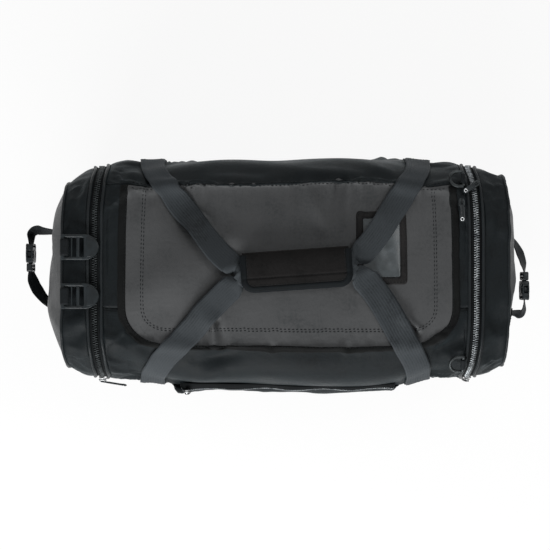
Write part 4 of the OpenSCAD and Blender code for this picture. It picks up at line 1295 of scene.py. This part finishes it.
binding = []
inner = []
for inset, rise in ((8.0, 0.25), (6.5, 1.1), (4.0, 1.5), (1.2, 1.2), (-0.8, -0.6), (-1.0, -2.8), (0.5, -4.4)):
    line = wrap_outline(inset * MM)
    base = wrap_outline(max(inset, 0.5) * MM)
    height = flap_height(base[:, 0], base[:, 1])
    binding.append(turned(line, height + rise * MM))
    core = wrap_outline((inset + 0.7) * MM)
    inner.append(turned(core, height + (rise - 0.7) * MM))
put("wrap_binding", [sheet(np.stack(binding, 1), np.stack(inner, 1))], "wrap_flap", grosgrain)
rows = []
seam_line = np.column_stack([np.linspace(-72, 72, 60) * MM, np.full(60, FLAP_SEAM)])
for line, lift in ((wrap_outline(9.5 * MM), 0.3 * MM), (seam_line, 0.2 * MM)):
    height = flap_height(line[:, 0], line[:, 1])
    rows.append(thread(turned(line, height + lift), np.tile(UP, (len(line), 1)), 3 * MM, 4.4 * MM, 0.4 * MM))
stitches("wrap_stitching", rows, "wrap_flap")

plan = wrap_grid(-26 * MM, 2 * MM, 60, 26)
crown = 1 - np.abs(plan[..., 0] / (WRAP_L / 2)) ** 8
crown = crown * (1 - np.abs(plan[..., 1] / (WRAP_W / 2)) ** 4)
pad = sheet(turned(plan, 0.3385 + 2.6 * MM * crown)[:, ::-1], turned(plan, 0.3372)[:, ::-1])
base_pad = put("wrap_base_pad", [pad], "back_strap", velour, ["wrap_base"])
FOLD_V = WRAP_W / 2 - 2 * MM
FOLD_Z = 0.3428


def fold_grid(inset):
    """Half a round of cloth that joins the base to the flap."""
    turn = np.linspace(-np.pi / 2, np.pi / 2, 13)
    u = np.linspace(-WRAP_L / 2 + 3 * MM, WRAP_L / 2 - 3 * MM, 50)
    u, v = np.meshgrid(u, FOLD_V + (4.5 * MM - inset) * np.cos(turn), indexing="ij")
    return turned(np.stack([u, v], -1), FOLD_Z + (5.4 * MM - inset) * np.sin(turn))


wrap_fold = put("wrap_fold", [sheet(fold_grid(0), fold_grid(1.6 * MM))], None, velour)
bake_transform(wrap_fold)


# Zips: tapes on both sides of a line, and two rows of teeth that mesh along it

def zip_tape_sheet(normals, rows):
    outer = np.stack(rows, axis=1)
    return sheet(outer, outer - normals[:, None] * 0.9 * MM)


for side, name, body in ((-1, "left", "left_end"), (1, "right", "right_end")):
    count = 420
    x = np.full(count, side * ZIP_X)
    a = round_angles(ZIP_X, count, 0.03)
    line = skin(x, a, 0.7 * MM)
    out = skin_normal(x, a)
    for way, half, rider, shift in ((-side, "body", "bag", 0.25), (side, "cap", body, 0.75)):
        tape_rows = [skin(x + way * d * MM, a, 0.5 * MM) for d in (0.6, 3.0, 5.5, 8.0)]
        if way < 0:
            tape_rows = tape_rows[::-1]
        chain = teeth(line, out, np.tile([way, 0, 0.0], (count, 1)), shift)
        put(f"{name}_zip_{half}_tape", [zip_tape_sheet(out, tape_rows)], rider, zip_tape,
            [f"{name}_zip_{half}_half"])
        # The photo shows the left row of teeth dark and the right one bright
        # Painted shade: the left row takes the darker lacquered metal to stand for the shade on that end; the
        # teeth of both ends are the same gunmetal.
        put(f"{name}_zip_{half}_teeth", [chain], rider, gunmetal if side > 0 else lacquered)
        cord = skin(x + way * 10 * MM, a, 0.9 * MM)
        put(f"{name}_{half}_piping_cord", [tube(cord[::2], 2.5 * MM)], rider, piping_cover,
            [f"{name}_{half}_piping"])

for inset, name, body, shift in ((-0.4 * MM, "body", "bag", 0.25), (0.4 * MM, "lid", "lid", 0.75)):
    line, out_way = lid_line(inset, 3 * MM, 6 * MM)
    sign = 1 if name == "body" else -1
    points = under_top(line, 4.6 * MM)
    normals = top_normals(line)
    tape_rows = [under_top(line + out_way * sign * d * MM, 4.4 * MM) for d in (0.4, 3.0, 7.5)]
    across = under_top(line + out_way * sign * 4 * MM, 4.6 * MM) - points
    if name == "body":
        tape_rows = tape_rows[::-1]
    chain = teeth(points, normals, across, shift)
    put(f"lid_zip_{name}_tape", [zip_tape_sheet(normals, tape_rows)], body, zip_tape,
        [f"lid_zip_{name}_half"])
    put(f"lid_zip_{name}_teeth", [chain], body, gunmetal)


# Front pocket: a soft patch on the front wall under a wavy zip

def front_wall(x, z, lift):
    return skin(x, np.pi - side_angle(x, z), lift)


def front_normal(x, z):
    return skin_normal(x, np.pi - side_angle(x, z))


# The slider runs in a straight line, so the mouth of the pocket stands off the wall to meet it
MOUTH_Y = -0.1792
MOUTH_Z = 0.246
POCKET_HALF = 0.175
POCKET_LOW = 0.060
POCKET_HIGH = 0.2375


def mouth_lift(x):
    wall = front_wall(x, np.full_like(x, MOUTH_Z), 0.0)
    wave = 1.5 * MM * np.sin(x * 72 + 0.6) + 0.7 * MM * np.sin(x * 31)
    return np.maximum(wall[..., 1] - MOUTH_Y + wave, 1.4 * MM)


px, pz = np.meshgrid(np.linspace(-POCKET_HALF, POCKET_HALF, 90), np.linspace(POCKET_LOW, POCKET_HIGH, 44),
                     indexing="ij")
edge = np.minimum(POCKET_HALF - np.abs(px), np.minimum(pz - POCKET_LOW, POCKET_HIGH - pz))
spots = np.stack([px, 0 * px, pz], axis=-1)
puff = smooth(edge / 0.025) * (2.6 + 1.2 * wave_noise(spots, 0.09, 51)) + 0.5 * wave_noise(spots, 0.03, 52)
puff = np.maximum(puff + 1.6, 0.9) * MM
ends = smooth((POCKET_HALF - np.abs(px)) / 0.012)
puff = puff + (mouth_lift(px) * ends - puff) * smooth((pz - 0.205) / 0.0325)
puff = np.maximum(puff, 0.9 * MM)
put("front_pocket_cloth", [sheet(front_wall(px, pz, puff), front_wall(px, pz, 0.4 * MM))], "bag", packcloth,
    ["front_pocket"])
rim_x = np.concatenate([np.full(60, -0.169), np.linspace(-0.169, 0.169, 130), np.full(60, 0.169)])
rim_z = np.concatenate([np.linspace(0.234, 0.066, 60), np.full(130, 0.066), np.linspace(0.066, 0.234, 60)])
row = thread(front_wall(rim_x, rim_z, 2.4 * MM), front_normal(rim_x, rim_z))
stitches("pocket_stitching", [row], "bag")

count = 220
zx = np.linspace(-0.160, 0.168, count)
zz = MOUTH_Z + (0.0014 * np.sin(zx * 95) + 0.0010 * np.sin(zx * 57 + 1))
proud = mouth_lift(zx) * smooth((zx + 0.168) / 0.012) * smooth((0.174 - zx) / 0.012)
line = front_wall(zx, zz, proud + 0.2 * MM)
out = front_normal(zx, zz)
chains = []
tapes = []
for way, shift in ((-1, 0.25), (1, 0.75)):
    fall = (1.0, 0.95, 0.8) if way < 0 else (1.0, 0.8, 0.25)
    tape_rows = [front_wall(zx, zz + way * d * MM, proud * f) for d, f in zip((0.6, 4.0, 8.5), fall)]
    across = front_wall(zx, zz + way * 4 * MM, proud * fall[1] + 0.2 * MM) - line
    tapes.append(zip_tape_sheet(out, tape_rows if way > 0 else tape_rows[::-1]))
    chains.append(teeth(line, out, across, shift, 2.8 * MM, 2.4 * MM, 1.7 * MM))
put("pocket_zip_tape", tapes, "bag", zip_tape, ["pocket_zip"])
put("pocket_zip_teeth", chains, "bag", gunmetal)


# End handles: webbing with a side-release buckle in each

HANDLE_Z = 0.195
HANDLE_FOOT_Y = 0.0625


def standing_strap(plan, side, tilt, width=25 * MM):
    """Webbing that stands on its edge along plan points, tilted towards the top by tilt."""
    plan = catmull(np.asarray(plan, float), 6)
    points = np.column_stack([plan, np.full(len(plan), HANDLE_Z)])
    out = np.cross(unit(np.gradient(points, axis=0)), UP) * side
    lean = np.interp(np.linspace(0, 1, len(plan)), np.linspace(0, 1, len(tilt)), tilt)[:, None]
    return webbing(points, out * np.cos(lean) + UP * np.sin(lean), width, WEB_T, 0.6 * MM)


def on_end_face(name, y, z, lift):
    """Places on an end face at y and z, lifted off it."""
    face = end_faces[name]
    gap = np.hypot(face[:, 1] - y[..., None], face[:, 2] - z[..., None])
    near = np.argsort(gap, axis=-1)[..., :6]
    share = 1 / (np.take_along_axis(gap, near, -1) + 0.001)
    x = np.sum(face[near, 0] * share, axis=-1) / np.sum(share, axis=-1)
    return np.stack([x + np.sign(x) * lift, y, z], axis=-1)


def handle_foot(name, way):
    """The sewn-down end of an end handle, and its box of stitches."""
    y = way * np.linspace(0.057, 0.085, 15)
    z = HANDLE_Z + np.linspace(-12.5, 12.5, 13) * MM
    y, z = np.meshgrid(y, z, indexing="ij")
    grids = [on_end_face(name, y, z, lift * MM) for lift in (2.2, 0.4)]
    if (name == "right") == (way > 0):
        grids = [grid[:, ::-1] for grid in grids]
    t = np.linspace(0, 4, 80)
    box_y = way * np.interp(t, range(5), [0.066, 0.082, 0.082, 0.066, 0.066])
    box_z = HANDLE_Z + np.interp(t, range(5), [-9, -9, 9, 9, -9]) * MM
    line = on_end_face(name, box_y, box_z, 2.4 * MM)
    out = np.tile([-1.0 if name == "left" else 1.0, 0, 0], (80, 1))
    return sheet(*grids), thread(line, out, 3.0 * MM, 4.4 * MM, 0.45 * MM)


def buckle_socket(place):
    """Socket: two shells with a window at each side, closed by a bar with the webbing slot."""
    notches = [rounded_mm(8.5, 9.5, 18.5, 16.2, 2), rounded_mm(8.5, -16.2, 18.5, -9.5, 2)]
    slot_hole = rounded_mm(24, -13, 27, 13, 1.2)
    shell = [rounded_mm(0, -17, 30, 17, 5)] + notches + [slot_hole]
    parts = [moulding(shell, 2.6 * MM, 1.0 * MM, raised(place, z)) for z in (-4.1, 4.1)]
    parts.append(moulding([rounded_mm(20, -16.4, 29.4, 16.4, 4), slot_hole], 8 * MM, 0.6 * MM, place))
    for low, high in ((-16.6, -13.4), (13.4, 16.6)):
        for x0, x1 in ((0.6, 8.0), (19.0, 26.0)):
            parts.append(moulding([rounded_mm(x0, low, x1, high, 1.2)], 8 * MM, 0.6 * MM, place))
    for x in (4.0, 6.6, 9.2):
        rib = rounded_mm(x - 0.7, -7, x + 0.7, 7, 0.6)
        parts.append(moulding([rib], 1.4 * MM, 0.4 * MM, raised(place, 5.5)))
    return parts


def buckle_plug(place):
    """Plug: a bar with the webbing slot, two sprung arms with thumb pads, and a guide between them."""
    bar = rounded_mm(-14, -17, -0.6, 17, 3.5)
    slots = [rounded_mm(-11.5, -13, -8.5, 13, 1.2), rounded_mm(-6, -13, -3.6, 13, 1)]
    parts = [moulding([bar] + slots, 8.6 * MM, 1.2 * MM, place)]
    guide = [(-1, -2.5), (16, -2.2), (19, -1), (19, 1), (16, 2.2), (-1, 2.5)]
    parts.append(moulding([np.array(guide) * MM], 4.6 * MM, 0.6 * MM, place))
    arm = [(-1, 8.5), (7, 8.2), (9, 9.8), (18, 10.0), (19.5, 8.6), (19.5, 6.8), (9, 6.4), (-1, 6.0)]
    pad = [(9.2, 9.9), (9.6, 12.2), (12, 13.0), (15.5, 13.0), (17.8, 12.2), (18, 9.9)]
    for s in (-1, 1):
        for shape in (arm, pad):
            parts.append(moulding([np.array(shape) * np.array([1, s]) * MM], 4.8 * MM, 0.6 * MM, place))
    return parts


for side, name, up, face_x, bow_x in ((-1, "left", 1, 0.3652, 0.3969), (1, "right", -1, 0.3559, 0.3739)):
    body = name + "_end"
    span = bow_x - face_x
    tab_plan = [(face_x - 0.010, HANDLE_FOOT_Y), (face_x + 0.3 * span, 0.0640),
                (face_x + 0.72 * span, 0.0655), (bow_x - 0.001, 0.0600), (bow_x, 0.0520), (bow_x, 0.0425)]
    tab_strap = standing_strap(np.array(tab_plan) * [side, up], -up, (0.2, 0.6, 0.4, 0.1))
    feet = [handle_foot(name, way) for way in (-1, 1)]
    put(name + "_handle_feet", [foot[0] for foot in feet], body, black_webbing)
    stitches(name + "_handle_stitching", [foot[1] for foot in feet], body)
    put(name + "_handle_tab_webbing", [tab_strap], body, black_webbing, [name + "_handle_tab"])
    t = np.linspace(0, 1, 12)
    run_x = bow_x + (face_x - 0.010 - bow_x) * t ** 2
    run_y = 0.004 + (-HANDLE_FOOT_Y - 0.004) * t
    strap_plan = np.column_stack([side * run_x, up * run_y])
    long_strap = standing_strap(strap_plan, -up, (0.1, 0.55, 0.65, 0.45, 0.1))
    strap = put(name + "_handle_webbing", [long_strap], None, black_webbing, [name + "_handle_strap"])
    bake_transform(strap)
    place = placed((side * bow_x, up * 0.014, HANDLE_Z), (0, up, 0), UP)
    put(name + "_buckle_socket", buckle_socket(place), body, acetal, [name + "_buckle_female"],
        35)
    put(name + "_buckle_plug", buckle_plug(place), name + "_buckle_male", acetal, [name + "_buckle_male"],
        35)


# Ladder-locks on the left end, hung in loops of webbing

def ladder_nose():
    """Plan of a ladder-lock: square tail, straight rails and a pointed round nose."""
    nose_r, half, frame_l = 22 * MM, 19 * MM, 32 * MM
    off = nose_r - half
    points = [(-3 * MM, -half), (frame_l, -half)]
    tip = math.acos(off / nose_r)
    points += arc(frame_l, off, nose_r, np.linspace(-math.pi / 2, -math.pi / 2 + tip, 12)[1:])
    points += [(x, -y) for x, y in points[::-1]]
    return np.array(points)


LADDERS = [(name, placed((-0.328, y, 0.3305), (1, 0, 0), (0, 1, 0)))
           for name, y in (("ladder_lock_back", 0.036), ("ladder_lock_front", -0.036))]
for name, place in LADDERS:
    holes = [rounded_mm(x0, -14, x1, 14, 1) for x0, x1 in ((2.2, 12.6), (14, 20), (25, 31))]
    parts = [moulding([ladder_nose()] + holes, 5 * MM, 1.4 * MM, place)]
    brow = ladder_nose() * [0.80, 0.78] + [9.6 * MM, 0]
    brow = brow[brow[:, 0] > 33 * MM]
    parts.append(moulding([brow], 5.9 * MM, 0.9 * MM, place))
    for low, high in ((-18.4, -14.6), (14.6, 18.4)):
        parts.append(moulding([rounded_mm(3, low, 30, high, 1.6)], 6.6 * MM, 1.5 * MM, place))
    put(name + "_moulding", parts, name, acetal, [name], 35)


def bar_loop(place, bar_r, width, drop, back, reach):
    """A loop of webbing round a bar, slack by reach in front. Its ends go down into a seam behind it."""
    r = bar_r + 1.1 * MM
    a = np.radians(np.linspace(200, -80, 22))
    over_x = r * np.cos(a) + reach * smooth((np.cos(a) + 0.4) / 0.9)
    over = np.column_stack([over_x, np.zeros(22), r * np.sin(a)])
    down = np.array([[-back, 0, -drop], [-back * 0.95, 0, -drop * 0.55]])
    rise = np.array([[-back * 0.3, 0, -drop * 0.62], [-back * 0.5, 0, -drop]])
    path = np.vstack([down, over, rise])
    way = unit(np.gradient(path, axis=0))
    out = np.cross([0, 1.0, 0], way)
    middle = place(np.zeros((1, 3)))
    return webbing(place(path), middle - place(out), width, 1.5 * MM)


loops = [bar_loop(place, 2.5 * MM, 25 * MM, 12 * MM, 4 * MM, 5 * MM) for _, place in LADDERS]
put("ladder_lock_loops", loops, "left_end", black_webbing, ["ladder_lock_tabs"])

loops = []
for s in (-1, 1):
    lean = math.radians(25) * s
    place = placed((0.263, s * 0.13721, 0.318018), (-1, 0, 0), (0, -math.cos(lean), math.sin(lean)))
    loops.append(bar_loop(place, 2.25 * MM, 16 * MM, 10 * MM, 6 * MM, 0.0))
put("d_ring_loops", loops, "bag", black_webbing, ["d_ring_tabs"])


# Zip sliders with a bridge, and pulls that hang on it

def mirrored(points):
    """An outline in metres from the points of its lower half in millimetres."""
    return np.array(points + [(x, -y) for x, y in points[::-1]]) * MM


def slider_body(place):
    """A die-cast slider: two shields on a core and an arched bridge over them."""
    shield = mirrored([(-6, -2.6), (-5, -3.4), (0, -4.4), (4.6, -4.4), (6, -3.2)])
    parts = [moulding([shield], 1.4 * MM, 0.5 * MM, raised(place, 3.3)),
             moulding([shield * 0.97], 1.2 * MM, 0.4 * MM, raised(place, 0.7)),
             moulding([mirrored([(1, -1.2), (5, -2.4)])], 3.4 * MM, 0.3 * MM, raised(place, 2))]
    arch = [(-4.6, 3.4), (-4.2, 5.2), (-2.4, 6.4), (0, 6.7), (2.4, 6.4), (4.2, 5.2), (4.6, 3.4)]
    arch = np.array([(x, 0, z) for x, z in arch]) * MM
    parts.append(tube(place(catmull(arch, 3)), 0.85 * MM))
    return parts


def pull_tab(place, length):
    """A moulded pull: an eye for the bridge, a ribbed grip and a hole for the eyelet."""
    l = length / MM
    rim = [(-2.2, -1.6), (-1.2, -2.6), (6, -2.7), (8, -3.6), (l - 3, -4), (l - 0.8, -3), (l, -1.2)]
    holes = [rounded_mm(-1, -1.5, 4.2, 1.5, 1.2), disc((l - 4.2) * MM, 0, 2.0 * MM, 18)]
    parts = [moulding([mirrored(rim)] + holes, 2.2 * MM, 0.35 * MM, place)]
    for x in np.arange(10.5, l - 8, 2.4):
        parts.append(moulding([rounded_mm(x - 0.6, -2.8, x + 0.6, 2.8, 0.5)], 3.0 * MM, 0.5 * MM, place))
    return parts


def eyelet(place, length):
    ring = np.column_stack([disc(length - 4.2 * MM, 0, 2.3 * MM, 28), np.zeros(28)])
    return [tube(raised(place, z)(ring), 0.65 * MM, 8, True) for z in (-1.0, 1.0)]


pins = {joint["child"]: joint for joint in frame["joints"] if joint["type"] == "hinge"}
for zip_name in ("lid", "right_top", "right_front", "left_front", "pocket"):
    pull = zip_name + "_pull"
    slider = zip_name + "_slider"
    pin = np.array(pins[pull]["pos_m"])
    axle = unit(np.array(pins[pull]["axis"]))
    cast = np.array([vertex.co for vertex in frame["nodes"][pull].data.vertices])
    hang = cast.mean(0) - pin
    hang = unit(hang - axle * (hang @ axle))
    length = float(((cast - pin) @ hang).max())
    low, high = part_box(slider)
    up = np.cross(hang, axle)
    if up @ (pin - (np.array(low) + np.array(high)) / 2) < 0:
        up = -up
    side_way = np.cross(up, hang)
    rider = "pocket_slider" if zip_name == "pocket" else "bag"
    put(slider + "_casting", slider_body(placed(pin - up * 6 * MM, hang, side_way)), rider,
        lacquered if zip_name in ("lid", "right_top") else nickel, [slider], 40)
    at_pin = placed(pin, hang, side_way)
    put(pull + "_tab", pull_tab(at_pin, length), pull, acetal, [pull], 40)
    put(pull + "_eyelet", eyelet(at_pin, length), pull, nickel)


# Base, inside walls and the board

base_half = 0.328
base_r = 0.025
gx, gy = np.meshgrid(np.linspace(-1, 1, 90), np.linspace(-1, 1, 40), indexing="ij")
corner = np.clip((np.abs(gy) * BASE_W / 2 - BASE_W / 2 + base_r) / base_r, 0, 1)
fx = gx * (base_half - base_r * (1 - np.sqrt(np.maximum(1 - corner ** 2, 0))))
fy = gy * (BASE_W / 2 - 0.4 * MM)
soft = 0.4 * MM * wave_noise(np.stack([fx, fy, 0 * fx], -1), 0.07, 71)
top = np.stack([fx, fy, BASE_T - 0.2 * MM + 0 * fx], -1)
under = np.stack([fx, fy, 0.5 * MM + soft * (1 - np.maximum(np.abs(gx), np.abs(gy)) ** 6)], -1)
put("base_cloth", [sheet(top, under)], "bag", tarpaulin, ["base_panel"])
l, w = base_half - 3 * MM, BASE_W / 2 - 3 * MM
rim = np.array(rounded(-l, -w, l, w, base_r - 1 * MM, 10))
rim = np.column_stack([rim, np.full(len(rim), 2.3 * MM)])
rim = np.vstack([rim, rim[:1]])
even = at(rim, along(rim, 6 * MM))
put("base_piping", [tube(even, 2.0 * MM, 8, True)], "bag", piping_cover)

for side, name in ((-1, "left"), (1, "right")):
    x = side * DIVIDER_X
    rim = section(np.full(90, x), round_angles(x, 90), 0.0050)
    rim[:, 2] = np.maximum(rim[:, 2], 0.010)
    rim = np.vstack([rim, np.linspace(rim[-1], rim[0], 42)[1:]])
    points, r = fan(rim, x, 24)
    points[..., 0] += wave_noise(points, 0.12, 81 + side) * 0.0022 * np.sin(np.pi * r) ** 0.5
    back = points + np.array([1.2 * MM, 0, 0])
    put(name + "_divider_cloth", [sheet(back, points, ring=True)], "bag", packcloth, [name + "_divider"])

for node, material in (("base_board", board_sheet), ("d_ring_back", lacquered), ("d_ring_front", lacquered)):
    for skin_slot in frame["nodes"][node].material_slots:
        skin_slot.material = material


# Studio: white ground, soft light from above and from the front, camera straight above

def seen_directly(tree):
    """1 for rays from the camera, in mirrors and through clear things, and 0 for lighting."""
    path = add(tree, "LightPath").outputs
    seen = add(tree, "Math", {"operation": "ADD", "use_clamp": True},
               {0: path["Is Camera Ray"], 1: path["Is Glossy Ray"]})
    seen = add(tree, "Math", {"operation": "MAXIMUM"}, {0: seen.outputs[0], 1: path["Is Transmission Ray"]})
    return seen.outputs[0]


def studio_floor():
    """A plain pale floor that shows white to the camera and keeps the bag's shadow."""
    material, tree = blank("matt white paper")
    solid = add(tree, "TexCoord").outputs["Object"]
    fibre = add(tree, "TexNoise", {"Scale": 1 / 0.004, "Detail": 2.0}, {"Vector": solid})
    colour = ramp(tree, fibre.outputs["Fac"], "#f4f4f4", "#fafafa")
    shader = add(tree, "BsdfPrincipled", {"Roughness": 0.9}, {"Base Color": colour.outputs["Color"]})
    glow = add(tree, "Emission", {"Strength": 1.0})
    share = add(tree, "Math", {"operation": "MULTIPLY", 1: 0.9}, {0: seen_directly(tree)})
    blend = add(tree, "MixShader", links={"Fac": share.outputs[0], 1: shader.outputs["BSDF"],
                                          2: glow.outputs["Emission"]})
    add(tree, "OutputMaterial", links={"Surface": blend.outputs["Shader"]})
    points = [(-4, -4, -0.0005), (4, -4, -0.0005), (4, 4, -0.0005), (-4, 4, -0.0005)]
    floor = put("studio_floor", [(points, [[0, 1, 2, 3]], np.zeros((4, 2)))], None, material)
    floor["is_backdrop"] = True


studio_floor()

world = bpy.data.worlds.new("white studio")
scene.world = world
world.use_nodes = True
sky_tree = world.node_tree
sky_tree.nodes.clear()
level = carried(sky_tree, seen_directly(sky_tree), 0.0, 1.0, 0.22, 1.0)
sky = add(sky_tree, "Background", {"Color": (1, 1, 1, 1)}, {"Strength": level})
add(sky_tree, "OutputWorld", links={"Surface": sky.outputs["Background"]})


def soft_lamp(name, place, target, size, power):
    lamp = bpy.data.lights.new(name, "AREA")
    lamp.shape = "RECTANGLE"
    lamp.size, lamp.size_y = size
    lamp.energy = power
    holder = bpy.data.objects.new(name, lamp)
    scene.collection.objects.link(holder)
    holder.location = place
    way = np.array(target) - np.array(place)
    holder.rotation_euler = Vector(way).to_track_quat("-Z", "Y").to_euler()


soft_lamp("front_softbox", (-0.5, -2.0, 1.25), (0, 0, 0.2), (1.8, 0.8), 72)
soft_lamp("back_softbox", (0.2, 2.0, 0.8), (0, 0, 0.2), (1.4, 0.8), 8)
soft_lamp("top_softbox", (1.0, 0.5, 2.2), (0, 0, 0.2), (0.8, 0.8), 9)

eye = bpy.data.cameras.new("above")
eye.sensor_fit = "HORIZONTAL"
eye.angle = math.radians(20.95)
camera = bpy.data.objects.new("above", eye)
scene.collection.objects.link(camera)
camera.location = (-0.0155, -0.005, 2.52)
scene.camera = camera
scene.view_settings.view_transform = "Standard"

low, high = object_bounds()
